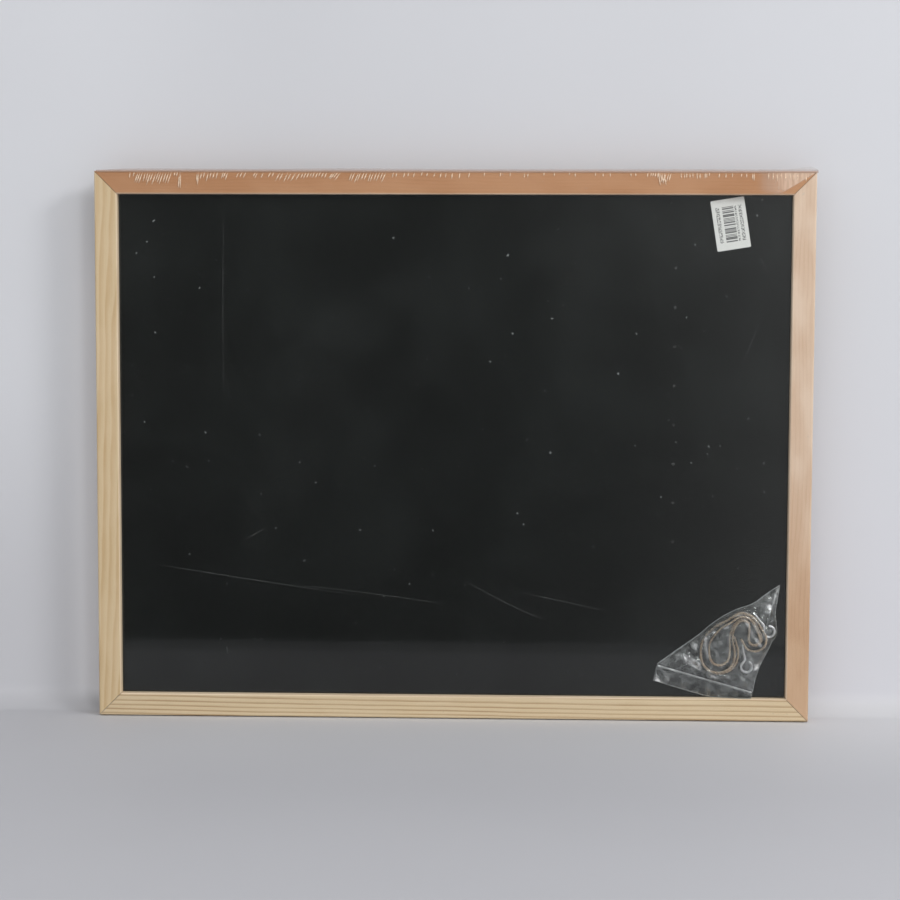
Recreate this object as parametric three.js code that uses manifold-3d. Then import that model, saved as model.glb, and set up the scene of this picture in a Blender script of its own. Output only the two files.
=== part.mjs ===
// A small chalkboard: a black writing panel held in the grooves of a mitred wooden frame, with its
// item label, the bag of hanging parts (twine and two screw eyes) that lies in the recess, and the
// shrink film round it all. Millimetres. X runs along the width, Z up the height, the front faces -Y.
// The origin is below the middle of the board, on the surface that the wrapped board stands on.

import * as THREE from 'three';
import { mergeVertices } from 'three/addons/utils/BufferGeometryUtils.js';
import Module from 'manifold-3d';

const wasm = await Module();
wasm.setup();

// Frame and panel
const OPENING_WIDTH = 400;
const OPENING_HEIGHT = 300;
const RAIL_FACE = 13.5;
const FRAME_DEPTH = 12;
const RECESS = 5.5;
const SHEET_THICKNESS = 0.3;
const CORE_THICKNESS = 2.5;
const GROOVE_DEPTH = 5;
const PANEL_CLEARANCE = 0.2;
const PANEL_EDGE_GAP = 0.3;
const MITRE_GAP = 0.15;
const OUTER_ARRIS = 1.1;
const INNER_ARRIS = 0.8;
const BACK_ARRIS = 0.4;
const ARRIS_STEPS = 4;

// V-nails: two across each mitre
const NAIL_THICKNESS = 0.6;
const NAIL_LEG = 3;
const NAIL_HEIGHT = 7;
const NAIL_SINK = 0.3;
const NAIL_CLEARANCE = 0.2;
const NAIL_INNER_PLACE = 7;
const NAIL_SPACING = 2.8;

// Item label
const LABEL_WIDTH = 20;
const LABEL_HEIGHT = 30;
const LABEL_THICKNESS = 0.12;
const LABEL_CORNER = 0.8;
const LABEL_FROM_RIGHT = 36.2;
const LABEL_FROM_TOP = 16.9;
const LABEL_TILT = 9;

// Bag film, and the clearance that the kit keeps inside it
const FILM = 0.15;
const KIT_CLEARANCE = 0.3;
const BAG_EDGE = 1.5;
const TRACK_WIDTH = 0.9;
const TRACK_HEIGHT = 0.5;

// Shrink film round the board, with its row of vent holes
const WRAP_THICKNESS = 0.12;
const WRAP_GAP = 0.2;
const VENT_COUNT = 8;
const VENT_SPACING = 23.2;
const VENT_WIDTH = 1.2;
const VENT_FROM_RIGHT = 82.3;
const VENT_FROM_TOP = 56.4;
const VENT_SIDES = 8;

// Screw eyes
const EYE_OUTER = 8;
const EYE_WIRE = 1.5;
const EYE_SHANK = 10;
const THREAD_LENGTH = 6.6;
const THREAD_PITCH = 0.9;
const THREAD_DEPTH = 0.22;
const POINT_LENGTH = 1.6;
const EYE_MOUTH = 0.5;

// Twine
const TWINE = 1.6;
const TWINE_GAP = 0.45;
const TWINE_TURNS = 3;
const TWINE_SIDES = 6;

const WIDTH = OPENING_WIDTH + 2 * RAIL_FACE;
const HEIGHT = OPENING_HEIGHT + 2 * RAIL_FACE;
const FRONT = -FRAME_DEPTH / 2;
const BACK = FRAME_DEPTH / 2;
const PANEL_FRONT = FRONT + RECESS;
const SHEET_BACK = PANEL_FRONT + SHEET_THICKNESS;
const CORE_BACK = SHEET_BACK + CORE_THICKNESS;
const WRAP_REACH = WRAP_GAP + WRAP_THICKNESS;
const RIGHT_ANGLE = Math.PI / 2;

const wood = (color) => new THREE.MeshStandardMaterial({ color, roughness: 0.6, metalness: 0 });
const straw = wood(0xc0ab8d);
const pinkish = wood(0xbe9070);
const black = new THREE.MeshStandardMaterial({ color: 0x1c1d1c, roughness: 0.35, metalness: 0 });
const hardboard = new THREE.MeshStandardMaterial({ color: 0x6b4a30, roughness: 0.8, metalness: 0 });
const steel = new THREE.MeshStandardMaterial({ color: 0xb9bcc0, roughness: 0.3, metalness: 1 });
const zinc = new THREE.MeshStandardMaterial({ color: 0xd4d6da, roughness: 0.25, metalness: 1 });
const paper = new THREE.MeshStandardMaterial({ color: 0xe2e2df, roughness: 0.7, metalness: 0 });
const jute = new THREE.MeshStandardMaterial({ color: 0xb08d68, roughness: 0.9, metalness: 0 });
const film = new THREE.MeshStandardMaterial({
  color: 0xdfe3e6, roughness: 0.15, metalness: 0, transparent: true, opacity: 0.3,
});

const shrinkFilm = new THREE.MeshStandardMaterial({
  color: 0xdfe3e6, roughness: 0.1, metalness: 0, transparent: true, opacity: 0.08,
});

const product = new THREE.Group();
const board = new THREE.Group();
board.position.z = WRAP_REACH;
product.add(board);

function addMesh(parent, name, geometry, material) {
  const mesh = new THREE.Mesh(geometry, material);
  mesh.name = name;
  parent.add(mesh);
  return mesh;
}

// Closed geometry from a list of points and a list of faces with three corners each
function fromFaces(points, faces) {
  const geometry = new THREE.BufferGeometry();
  const positions = points.flatMap((point) => [point.x, point.y, point.z]);
  geometry.setAttribute('position', new THREE.Float32BufferAttribute(positions, 3));
  geometry.setIndex(faces.flat());
  return geometry;
}

function toSolid(geometry) {
  const bare = geometry.clone();
  bare.deleteAttribute('normal');
  bare.deleteAttribute('uv');
  const merged = mergeVertices(bare, 1e-4);
  return new wasm.Manifold(new wasm.Mesh({
    numProp: 3,
    vertProperties: new Float32Array(merged.attributes.position.array),
    triVerts: new Uint32Array(merged.index.array),
  }));
}

function toGeometry(solid) {
  const mesh = solid.getMesh();
  const geometry = new THREE.BufferGeometry();
  geometry.setAttribute('position', new THREE.BufferAttribute(mesh.vertProperties, mesh.numProp));
  geometry.setIndex(new THREE.BufferAttribute(mesh.triVerts, 1));
  return geometry;
}

// A rail lies along X with its outer edge at z = 0 and its inner edge at z = RAIL_FACE.
// Its section is a rectangle with rounded arrises and the groove that takes the panel.
function railSection() {
  const grooveFront = PANEL_FRONT - PANEL_CLEARANCE;
  const grooveBack = CORE_BACK + PANEL_CLEARANCE;
  const grooveBottom = RAIL_FACE - GROOVE_DEPTH;
  const points = [];
  const arris = (z, y, radius, startAngle) => {
    for (let i = 0; i <= ARRIS_STEPS; i += 1) {
      const angle = startAngle + (RIGHT_ANGLE * i) / ARRIS_STEPS;
      points.push(new THREE.Vector2(z + radius * Math.cos(angle), y + radius * Math.sin(angle)));
    }
  };
  arris(OUTER_ARRIS, FRONT + OUTER_ARRIS, OUTER_ARRIS, 2 * RIGHT_ANGLE);
  arris(RAIL_FACE - INNER_ARRIS, FRONT + INNER_ARRIS, INNER_ARRIS, 3 * RIGHT_ANGLE);
  points.push(new THREE.Vector2(RAIL_FACE, grooveFront));
  points.push(new THREE.Vector2(grooveBottom, grooveFront));
  points.push(new THREE.Vector2(grooveBottom, grooveBack));
  points.push(new THREE.Vector2(RAIL_FACE, grooveBack));
  arris(RAIL_FACE - BACK_ARRIS, BACK - BACK_ARRIS, BACK_ARRIS, 0);
  arris(BACK_ARRIS, BACK - BACK_ARRIS, BACK_ARRIS, RIGHT_ANGLE);
  return new THREE.Shape(points);
}

// The section is drawn out to the rail's length, and each end is slanted into its mitre
function mitredBar(length) {
  const geometry = new THREE.ExtrudeGeometry(railSection(), { depth: length, bevelEnabled: false });
  const position = geometry.attributes.position;
  const endGap = (MITRE_GAP / 2) * Math.SQRT2;
  for (let i = 0; i < position.count; i += 1) {
    const z = position.getX(i);
    const y = position.getY(i);
    const end = position.getZ(i) > length / 2 ? -1 : 1;
    position.setXYZ(i, end * (length / 2 - z - endGap), y, z);
  }
  return geometry;
}

// A V-nail's outline is an angle with equal legs, whose corner lies on the mitre at (place, place)
function nailGeometry(place, extraWidth, height) {
  const half = NAIL_THICKNESS / 2 + extraWidth;
  const end = place - NAIL_LEG - extraWidth;
  const outline = new THREE.Shape([
    new THREE.Vector2(place + half, place + half),
    new THREE.Vector2(end, place + half),
    new THREE.Vector2(end, place - half),
    new THREE.Vector2(place - half, place - half),
    new THREE.Vector2(place - half, end),
    new THREE.Vector2(place + half, end),
  ]);
  const geometry = new THREE.ExtrudeGeometry(outline, { depth: height, bevelEnabled: false });
  return geometry.rotateX(RIGHT_ANGLE);
}

function nailPlaces() {
  return [NAIL_INNER_PLACE, NAIL_INNER_PLACE - NAIL_SPACING];
}

// One rail with the slots that its V-nails stand in, at both ends
function railGeometry(length) {
  let solid = toSolid(mitredBar(length));
  const depth = NAIL_SINK + NAIL_HEIGHT + NAIL_CLEARANCE;
  const cornerTurns = [[-length / 2, 0], [length / 2, -RIGHT_ANGLE]];
  for (const [x, turn] of cornerTurns) {
    for (const place of nailPlaces()) {
      const slot = nailGeometry(place, NAIL_CLEARANCE, depth + 1);
      slot.rotateY(turn).translate(x, BACK + 1, 0);
      solid = solid.subtract(toSolid(slot));
    }
  }
  return toGeometry(solid);
}

function buildFrame() {
  const rails = [
    ['bottom_rail', WIDTH, 0, 0, 0, straw],
    ['right_stile', HEIGHT, WIDTH / 2, HEIGHT / 2, -RIGHT_ANGLE, pinkish],
    ['top_rail', WIDTH, 0, HEIGHT, 2 * RIGHT_ANGLE, pinkish],
    ['left_stile', HEIGHT, -WIDTH / 2, HEIGHT / 2, RIGHT_ANGLE, straw],
  ];
  for (const [name, length, x, z, turn, material] of rails) {
    const rail = addMesh(board, name, railGeometry(length), material);
    rail.position.set(x, 0, z);
    rail.rotation.y = turn;
  }
}

function buildNails() {
  const corners = [
    ['bottom_left', -WIDTH / 2, 0, 0],
    ['bottom_right', WIDTH / 2, 0, -RIGHT_ANGLE],
    ['top_right', WIDTH / 2, HEIGHT, 2 * RIGHT_ANGLE],
    ['top_left', -WIDTH / 2, HEIGHT, RIGHT_ANGLE],
  ];
  for (const [name, x, z, turn] of corners) {
    nailPlaces().forEach((place, index) => {
      const side = index === 0 ? 'inner' : 'outer';
      const nail = addMesh(board, `v_nail_${name}_${side}`, nailGeometry(place, 0, NAIL_HEIGHT), steel);
      nail.position.set(x, BACK - NAIL_SINK, z);
      nail.rotation.y = turn;
    });
  }
}

function buildPanel() {
  const inGroove = GROOVE_DEPTH - PANEL_EDGE_GAP;
  const width = OPENING_WIDTH + 2 * inGroove;
  const height = OPENING_HEIGHT + 2 * inGroove;
  const sheet = addMesh(board, 'writing_sheet', new THREE.BoxGeometry(width, SHEET_THICKNESS, height), black);
  sheet.position.set(0, (PANEL_FRONT + SHEET_BACK) / 2, HEIGHT / 2);
  const core = addMesh(board, 'panel_core', new THREE.BoxGeometry(width, CORE_THICKNESS, height), hardboard);
  core.position.set(0, (SHEET_BACK + CORE_BACK) / 2, HEIGHT / 2);
}

function buildLabel() {
  const x = LABEL_WIDTH / 2;
  const z = LABEL_HEIGHT / 2;
  const r = LABEL_CORNER;
  const outline = new THREE.Shape();
  outline.absarc(x - r, z - r, r, 0, RIGHT_ANGLE);
  outline.absarc(r - x, z - r, r, RIGHT_ANGLE, 2 * RIGHT_ANGLE);
  outline.absarc(r - x, r - z, r, 2 * RIGHT_ANGLE, 3 * RIGHT_ANGLE);
  outline.absarc(x - r, r - z, r, 3 * RIGHT_ANGLE, 4 * RIGHT_ANGLE);
  const settings = { depth: LABEL_THICKNESS, bevelEnabled: false, curveSegments: 4 };
  const geometry = new THREE.ExtrudeGeometry(outline, settings).rotateX(RIGHT_ANGLE);
  const label = addMesh(board, 'item_label', geometry, paper);
  const openingTop = RAIL_FACE + OPENING_HEIGHT;
  label.position.set(OPENING_WIDTH / 2 - LABEL_FROM_RIGHT, PANEL_FRONT, openingTop - LABEL_FROM_TOP);
  label.rotation.y = THREE.MathUtils.degToRad(-LABEL_TILT);
}

// The kit lies on the panel in the lower right corner of the recess. Its points are [x, z] from
// that corner of the opening, and its heights are measured forwards from the writing sheet.
const kit = new THREE.Group();
kit.position.set(OPENING_WIDTH / 2, PANEL_FRONT, RAIL_FACE);
board.add(kit);
const onSheet = (x, z, height) => new THREE.Vector3(x, -height, z);

const INSIDE_BAG = FILM + KIT_CLEARANCE;
const LOWER_LAYER = INSIDE_BAG + TWINE / 2;
const UPPER_LAYER = LOWER_LAYER + TWINE + TWINE_GAP;
const BAG_HEIGHT = UPPER_LAYER + TWINE / 2 + INSIDE_BAG;

// A closed tube of flat-sided rings, one around each point, with its flats set by the sheet's normal
function tubeGeometry(points, radii, sides) {
  const normal = new THREE.Vector3(0, -1, 0);
  const corners = [];
  const faces = [];
  points.forEach((point, index) => {
    const before = points[Math.max(index - 1, 0)];
    const after = points[Math.min(index + 1, points.length - 1)];
    const along = after.clone().sub(before).normalize();
    const across = new THREE.Vector3().crossVectors(normal, along).normalize();
    const up = new THREE.Vector3().crossVectors(along, across).normalize();
    for (let i = 0; i < sides; i += 1) {
      const angle = (2 * Math.PI * i) / sides;
      const corner = point.clone();
      corner.addScaledVector(across, radii[index] * Math.cos(angle));
      corner.addScaledVector(up, radii[index] * Math.sin(angle));
      corners.push(corner);
    }
  });
  for (let ring = 0; ring < points.length - 1; ring += 1) {
    for (let i = 0; i < sides; i += 1) {
      const next = (i + 1) % sides;
      const a = ring * sides + i;
      const b = ring * sides + next;
      faces.push([a, b, b + sides], [a, b + sides, a + sides]);
    }
  }
  const last = (points.length - 1) * sides;
  for (let i = 1; i < sides - 1; i += 1) {
    faces.push([0, i + 1, i], [last, last + i, last + i + 1]);
  }
  return fromFaces(corners, faces);
}

// Twine. The middle line of the hank runs from its left lobe over its fold to its right lobe.
// Each place on it holds the half width of the innermost loop and the growth to the outermost.
const HANK_LINE = [
  { x: -40.0, z: 25.6, inner: 5.4, growth: 7.8 },
  { x: -39.6, z: 32.6, inner: 5.4, growth: 7.0 },
  { x: -36.8, z: 39.5, inner: 3.2, growth: 5.0 },
  { x: -32.1, z: 45.0, inner: 0.8, growth: 3.7 },
  { x: -26.8, z: 48.7, inner: 0.2, growth: 3.5 },
  { x: -21.7, z: 46.9, inner: 0.3, growth: 3.5 },
  { x: -19.6, z: 41.7, inner: 0.9, growth: 4.3 },
  { x: -18.6, z: 35.7, inner: 1.7, growth: 5.8 },
];
const LEFT_END_STEPS = 6;
const RIGHT_END_STEPS = 4;
const START_STEP = 5;
const CLIMB_START = 29;
const CLIMB_STEPS = 9;

// The steps of one turn, as a place on the middle line and an angle round it: back along the
// under side, round the left end, out along the upper side and round the right end
function hankTurn() {
  const last = HANK_LINE.length - 1;
  const steps = [];
  for (let place = last; place > 0; place -= 1) {
    steps.push({ place, angle: Math.PI });
  }
  for (let i = 0; i < LEFT_END_STEPS; i += 1) {
    steps.push({ place: 0, angle: Math.PI * (1 + i / LEFT_END_STEPS) });
  }
  for (let place = 0; place < last; place += 1) {
    steps.push({ place, angle: 0 });
  }
  for (let i = 0; i < RIGHT_END_STEPS; i += 1) {
    steps.push({ place: last, angle: (Math.PI * i) / RIGHT_END_STEPS });
  }
  return steps;
}

// The loops spiral inwards in the lower layer, climb at the left lobe and spiral out again above
function hankRoute() {
  const line = HANK_LINE.map((place) => new THREE.Vector3(place.x, 0, place.z));
  const curve = new THREE.CatmullRomCurve3(line);
  const turn = hankTurn();
  const count = TWINE_TURNS * turn.length;
  const route = [];
  for (let i = START_STEP; i <= count; i += 1) {
    const { place, angle } = turn[i % turn.length];
    const fullness = Math.abs(1 - (2 * i) / count);
    const halfWidth = HANK_LINE[place].inner + HANK_LINE[place].growth * fullness;
    const along = curve.getTangent(place / (HANK_LINE.length - 1));
    const outward = new THREE.Vector3(-along.z, 0, along.x);
    const climb = THREE.MathUtils.smoothstep(i, CLIMB_START, CLIMB_START + CLIMB_STEPS);
    const point = line[place].clone();
    point.addScaledVector(outward, halfWidth * Math.cos(angle));
    point.addScaledVector(along, halfWidth * Math.sin(angle));
    point.y = -THREE.MathUtils.lerp(LOWER_LAYER, UPPER_LAYER, climb);
    route.push(point);
  }
  return [straightEnd(route[0], route[1]), ...route, straightEnd(route.at(-1), route.at(-2))];
}

function straightEnd(end, neighbour) {
  return end.clone().addScaledVector(end.clone().sub(neighbour).normalize(), TWINE);
}

// Least gap between two stretches of the tube that lie more than a few diameters apart along it
function leastSelfGap(route) {
  const curve = new THREE.CatmullRomCurve3(route, false, 'centripetal');
  const length = curve.getLength();
  const count = Math.ceil(length);
  const points = curve.getSpacedPoints(count);
  const apart = 4 * TWINE;
  let least = Infinity;
  for (let i = 0; i < points.length; i += 1) {
    for (let j = i + Math.ceil((apart * count) / length); j < points.length; j += 1) {
      least = Math.min(least, points[i].distanceTo(points[j]) - TWINE);
    }
  }
  return { least, length };
}

function buildTwine() {
  const route = hankRoute();
  const radii = route.map(() => TWINE / 2);
  addMesh(kit, 'hanging_twine', tubeGeometry(route, radii, TWINE_SIDES), jute);
  const { least, length } = leastSelfGap(route);
  console.log(`hanging twine: ${length.toFixed(0)} mm long, least gap to itself ${least.toFixed(2)} mm`);
}

// Screw eyes. The ring's middle is the origin and the threaded shank points up its local Z.
const EYE_SIDES = 8;
const RING_STEPS = 20;
const NECK_ANGLE = 40;
const NECK_START = 0.26;
const NECK_MIDDLE = 0.06;
const NECK_RISE = 0.3;
const NECK_LENGTH = 1;
const RIDGE_STEPS = 8;

function eyeWirePath() {
  const ringRadius = (EYE_OUTER - EYE_WIRE) / 2;
  const neck = THREE.MathUtils.degToRad(NECK_ANGLE);
  const mouth = (EYE_WIRE + EYE_MOUTH) / ringRadius;
  const points = [];
  const radii = [];
  for (let i = 0; i <= RING_STEPS; i += 1) {
    const angle = mouth + ((2 * Math.PI - mouth - neck) * i) / RING_STEPS;
    points.push(new THREE.Vector3(ringRadius * Math.sin(angle), 0, ringRadius * Math.cos(angle)));
    radii.push(EYE_WIRE / 2);
  }
  const tip = EYE_OUTER / 2 + EYE_SHANK;
  const coreRadius = EYE_WIRE / 2 - THREAD_DEPTH;
  const shank = [
    [-NECK_START * EYE_OUTER / 2, ringRadius, EYE_WIRE / 2],
    [-NECK_MIDDLE * EYE_OUTER / 2, EYE_OUTER / 2 + NECK_RISE, EYE_WIRE / 2],
    [0, EYE_OUTER / 2 + NECK_LENGTH, EYE_WIRE / 2],
    [0, tip - THREAD_LENGTH - THREAD_DEPTH, EYE_WIRE / 2],
    [0, tip - THREAD_LENGTH, coreRadius],
    [0, tip - POINT_LENGTH, coreRadius],
    [0, tip, coreRadius / 8],
  ];
  for (const [x, z, radius] of shank) {
    points.push(new THREE.Vector3(x, 0, z));
    radii.push(radius);
  }
  return { points, radii };
}

// The thread is a ridge with a three-cornered section, wound round the shank's core
function threadRidge() {
  const tip = EYE_OUTER / 2 + EYE_SHANK;
  const coreRadius = EYE_WIRE / 2 - THREAD_DEPTH;
  const climb = THREAD_LENGTH - POINT_LENGTH / 2;
  const steps = Math.round((climb / THREAD_PITCH) * RIDGE_STEPS);
  const halfBase = THREAD_PITCH * 0.3;
  const root = coreRadius * 0.6;
  const points = [];
  const faces = [];
  for (let i = 0; i <= steps; i += 1) {
    const angle = (2 * Math.PI * i) / RIDGE_STEPS;
    const z = tip - THREAD_LENGTH + (climb * i) / steps;
    const untilPoint = (tip - z) / POINT_LENGTH;
    const runOut = Math.min(1, i / RIDGE_STEPS, untilPoint);
    const crest = coreRadius * Math.min(1, untilPoint) + THREAD_DEPTH * runOut;
    const depth = Math.min(root, crest * 0.5);
    for (const [radius, rise] of [[depth, -halfBase], [crest, 0], [depth, halfBase]]) {
      points.push(new THREE.Vector3(radius * Math.cos(angle), radius * Math.sin(angle), z + rise));
    }
  }
  for (let i = 0; i < steps; i += 1) {
    for (let side = 0; side < 3; side += 1) {
      const a = 3 * i + side;
      const b = 3 * i + ((side + 1) % 3);
      faces.push([a, a + 3, b + 3], [a, b + 3, b]);
    }
  }
  const last = 3 * steps;
  faces.push([0, 1, 2], [last, last + 2, last + 1]);
  return fromFaces(points, faces);
}

function buildScrewEyes() {
  const { points, radii } = eyeWirePath();
  const wire = toSolid(tubeGeometry(points, radii, EYE_SIDES));
  const eye = toGeometry(wire.add(toSolid(threadRidge())));
  const places = [
    ['screw_eye_a', -23.2, 18.8, 11],
    ['screw_eye_b', -10, 40.3, 40],
  ];
  for (const [name, x, z, lean] of places) {
    const mesh = addMesh(kit, name, eye.clone(), zinc);
    mesh.position.copy(onSheet(x, z, INSIDE_BAG + EYE_WIRE / 2));
    mesh.rotation.y = THREE.MathUtils.degToRad(-lean);
  }
}

// Bag. Its outline starts at the left end of the press closure and runs along it, up the right
// side to the tip and back down the folded edge. The crown is where the front film lies highest.
const BAG_OUTLINE = [
  [-76.6, 20.1], [-48, 12], [-19.1, 3.9], [-17.3, 14.3], [-12.4, 25], [-6.4, 34.6],
  [-4.6, 40.5], [-4.5, 52], [-3.4, 68.3], [-18, 57], [-27, 54.7], [-35.6, 50.7],
  [-43.9, 44.9], [-51.8, 38.2],
];
const BAG_CROWN = [
  [-52.7, 20], [-41, 12.7], [-27, 13], [-18.2, 16.6], [-13.2, 26], [-7.2, 35.6],
  [-5.3, 40.5], [-6.2, 46], [-15.2, 52], [-19, 54.2], [-26.9, 54.2], [-35.3, 50.2],
  [-43.5, 44.4], [-51.3, 37.6],
];
const HEADER = 10.3;
const HEADER_LAP = 2;
const RAIL_CLEARANCE = 0.4;

// Moves every point of an outline inwards, square to its two neighbouring edges
function inset(outline, distance) {
  return outline.map(([x, z], index) => {
    const [x0, z0] = outline.at(index - 1);
    const [x1, z1] = outline[(index + 1) % outline.length];
    const first = new THREE.Vector2(x - x0, z - z0).normalize();
    const second = new THREE.Vector2(x1 - x, z1 - z).normalize();
    const inward = new THREE.Vector2(-first.y - second.y, first.x + second.x);
    const reach = Math.min(2 / inward.lengthSq(), 2);
    return [x + inward.x * reach * distance, z + inward.y * reach * distance];
  });
}

// A closed solid through outlines of as many points each, given as [outline, height]
function loftGeometry(levels) {
  const points = levels.flatMap(([outline, height]) => outline.map(([x, z]) => onSheet(x, z, height)));
  const count = levels[0][0].length;
  const faces = [];
  for (let level = 0; level < levels.length - 1; level += 1) {
    for (let i = 0; i < count; i += 1) {
      const a = level * count + i;
      const b = level * count + ((i + 1) % count);
      faces.push([a, b, b + count], [a, b + count, a + count]);
    }
  }
  const capOf = (outline) => THREE.ShapeUtils.triangulateShape(
    outline.map(([x, z]) => new THREE.Vector2(x, z)),
    [],
  );
  const top = (levels.length - 1) * count;
  for (const [a, b, c] of capOf(levels[0][0])) {
    faces.push([a, c, b]);
  }
  for (const [a, b, c] of capOf(levels.at(-1)[0])) {
    faces.push([top + a, top + b, top + c]);
  }
  return fromFaces(points, faces);
}

// The press closure's line. Its place(x, z) is x along it and z down from it, towards the mouth.
function closureLine() {
  const [[leftX, leftZ], , [rightX, rightZ]] = BAG_OUTLINE;
  const along = new THREE.Vector2(rightX - leftX, rightZ - leftZ);
  const length = along.length();
  along.normalize();
  const down = new THREE.Vector2(along.y, -along.x);
  const place = (x, z) => [leftX + along.x * x + down.x * z, leftZ + along.y * x + down.y * z];
  return { along, down, length, place, startHeight: leftZ };
}

// The flat header between the closure and the mouth. Its right end is cut off along the bottom rail.
function headerOutline(closure, sideGap, pastMouth) {
  const { along, down, length, place, startHeight } = closure;
  const overRail = startHeight - RAIL_CLEARANCE;
  const depthAtEnd = (overRail + along.y * length) / -down.y;
  const cutStart = (overRail + down.y * HEADER) / -along.y;
  return [
    place(sideGap, -HEADER_LAP),
    place(sideGap, HEADER + pastMouth),
    place(cutStart, HEADER + pastMouth),
    place(length - sideGap, depthAtEnd + pastMouth),
    place(length - sideGap, -HEADER_LAP),
  ];
}

// The bag is one skin, open at the mouth, and it narrows towards its crown over the kit
function buildBag() {
  const closure = closureLine();
  const body = [[BAG_OUTLINE, 0], [BAG_OUTLINE, BAG_EDGE], [BAG_CROWN, BAG_HEIGHT]];
  const header = headerOutline(closure, 0, 0);
  const outer = toSolid(loftGeometry(body)).add(toSolid(loftGeometry([[header, 0], [header, BAG_EDGE]])));
  const bodySpace = [
    [inset(BAG_OUTLINE, FILM), FILM],
    [inset(BAG_OUTLINE, FILM), BAG_EDGE - FILM],
    [inset(BAG_CROWN, FILM / 3), BAG_HEIGHT - FILM],
  ];
  const headerSpace = headerOutline(closure, FILM, HEADER_LAP);
  const inner = toSolid(loftGeometry(bodySpace))
    .add(toSolid(loftGeometry([[headerSpace, FILM], [headerSpace, BAG_EDGE - FILM]])));
  addMesh(kit, 'zip_bag', toGeometry(outer.subtract(inner)), film);
  buildTracks(closure);
}

// The two tracks of the press closure, one on the inner face of each film
function buildTracks({ along, length, place }) {
  const trackLength = length - 2 * (FILM + KIT_CLEARANCE);
  const [x, z] = place(length / 2, TRACK_WIDTH);
  const tracks = [
    ['zip_rib_track', FILM + TRACK_HEIGHT / 2],
    ['zip_groove_track', BAG_EDGE - FILM - TRACK_HEIGHT / 2],
  ];
  for (const [name, height] of tracks) {
    const geometry = new THREE.BoxGeometry(trackLength, TRACK_HEIGHT, TRACK_WIDTH);
    const track = addMesh(kit, name, geometry, film);
    track.position.copy(onSheet(x, z, height));
    track.rotation.y = -Math.atan2(along.y, along.x);
  }
}

// A closed box that stays a certain reach outside the board, slanted where the rails' arrises are
function boxRoundBoard(reach) {
  const slant = 2 - Math.SQRT2;
  const outline = (arris) => {
    const x = WIDTH / 2 + reach - slant * arris;
    const low = slant * arris - reach;
    const high = HEIGHT - low;
    return [[-x, low], [x, low], [x, high], [-x, high]];
  };
  return toSolid(loftGeometry([
    [outline(BACK_ARRIS), -BACK - reach],
    [outline(0), slant * BACK_ARRIS - BACK - reach],
    [outline(0), reach - FRONT - slant * OUTER_ARRIS],
    [outline(OUTER_ARRIS), reach - FRONT],
  ]));
}

// The film goes round the whole board, drawn flat across the recess and the back. Its vents join
// the space inside to the air.
function buildWrap() {
  const radius = VENT_WIDTH / 2;
  const pin = toSolid(new THREE.CylinderGeometry(radius, radius, 4 * WRAP_REACH, VENT_SIDES));
  const x = WIDTH / 2 - VENT_FROM_RIGHT;
  let skin = boxRoundBoard(WRAP_REACH).subtract(boxRoundBoard(WRAP_GAP));
  for (let i = 0; i < VENT_COUNT; i += 1) {
    skin = skin.subtract(pin.translate([x, FRONT - WRAP_REACH, HEIGHT - VENT_FROM_TOP - i * VENT_SPACING]));
  }
  addMesh(board, 'shrink_film', toGeometry(skin), shrinkFilm);
}

buildFrame();
buildNails();
buildPanel();
buildLabel();
buildBag();
buildScrewEyes();
buildTwine();
buildWrap();

export default product;
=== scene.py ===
# %% [markdown]
# # A small framed chalkboard
#
# The real object is a black writing panel in a mitred softwood frame. It is sold in shrink film, and a
# small grip-seal bag with its hanging parts lies in the corner of the panel. The solids come from CAD, in
# metres and in place. This lesson dresses them: it keeps the rails, the panel, the nails and the label
# and gives them their finishes. It makes the twine, the screw eyes and all the clear film anew, because
# film is too thin and too crumpled for a solid.

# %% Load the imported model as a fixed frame
import math
import random

import bmesh
import bpy
import numpy as np
from mathutils import Matrix, Vector
from mathutils.geometry import delaunay_2d_cdt


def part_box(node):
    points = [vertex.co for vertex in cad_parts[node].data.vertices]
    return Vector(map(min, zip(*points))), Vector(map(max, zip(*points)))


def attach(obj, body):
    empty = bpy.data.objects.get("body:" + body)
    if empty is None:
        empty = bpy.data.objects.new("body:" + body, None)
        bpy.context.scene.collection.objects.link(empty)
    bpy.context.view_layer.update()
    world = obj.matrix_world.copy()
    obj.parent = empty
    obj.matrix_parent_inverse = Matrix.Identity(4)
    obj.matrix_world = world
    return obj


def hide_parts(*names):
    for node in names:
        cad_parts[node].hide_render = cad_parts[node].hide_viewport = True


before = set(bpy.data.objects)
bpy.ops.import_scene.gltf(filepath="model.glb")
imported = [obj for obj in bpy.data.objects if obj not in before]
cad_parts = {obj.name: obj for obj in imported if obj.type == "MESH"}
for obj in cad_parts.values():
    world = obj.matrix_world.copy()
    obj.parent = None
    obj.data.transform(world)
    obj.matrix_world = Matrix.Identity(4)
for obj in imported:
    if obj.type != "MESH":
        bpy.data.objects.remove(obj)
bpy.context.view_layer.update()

MM = 0.001
scene = bpy.context.scene
scene.view_settings.view_transform = "Standard"

# %% [markdown]
# ## Sizes
#
# Nothing is measured twice. The panel's front face, the inner edges of the rails and the outside of the
# frame are read from the boxes of the CAD nodes, and every later piece is placed from them.

# %% Read the frame's sizes
frame_low, left_inside = (Vector(corner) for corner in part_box("left_stile"))
right_inside, frame_high = (Vector(corner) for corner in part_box("right_stile"))
inner_left = left_inside.x
inner_right = right_inside.x
inner_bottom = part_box("bottom_rail")[1][2]
inner_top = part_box("top_rail")[0][2]
panel_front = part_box("writing_sheet")[0][1]
recess = panel_front - frame_low.y
kit_corner = Vector((inner_right, panel_front, inner_bottom))
print(f"opening {(inner_right - inner_left) / MM:.1f} x {(inner_top - inner_bottom) / MM:.1f} mm,",
      f"recess {recess / MM:.1f} mm")


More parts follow.
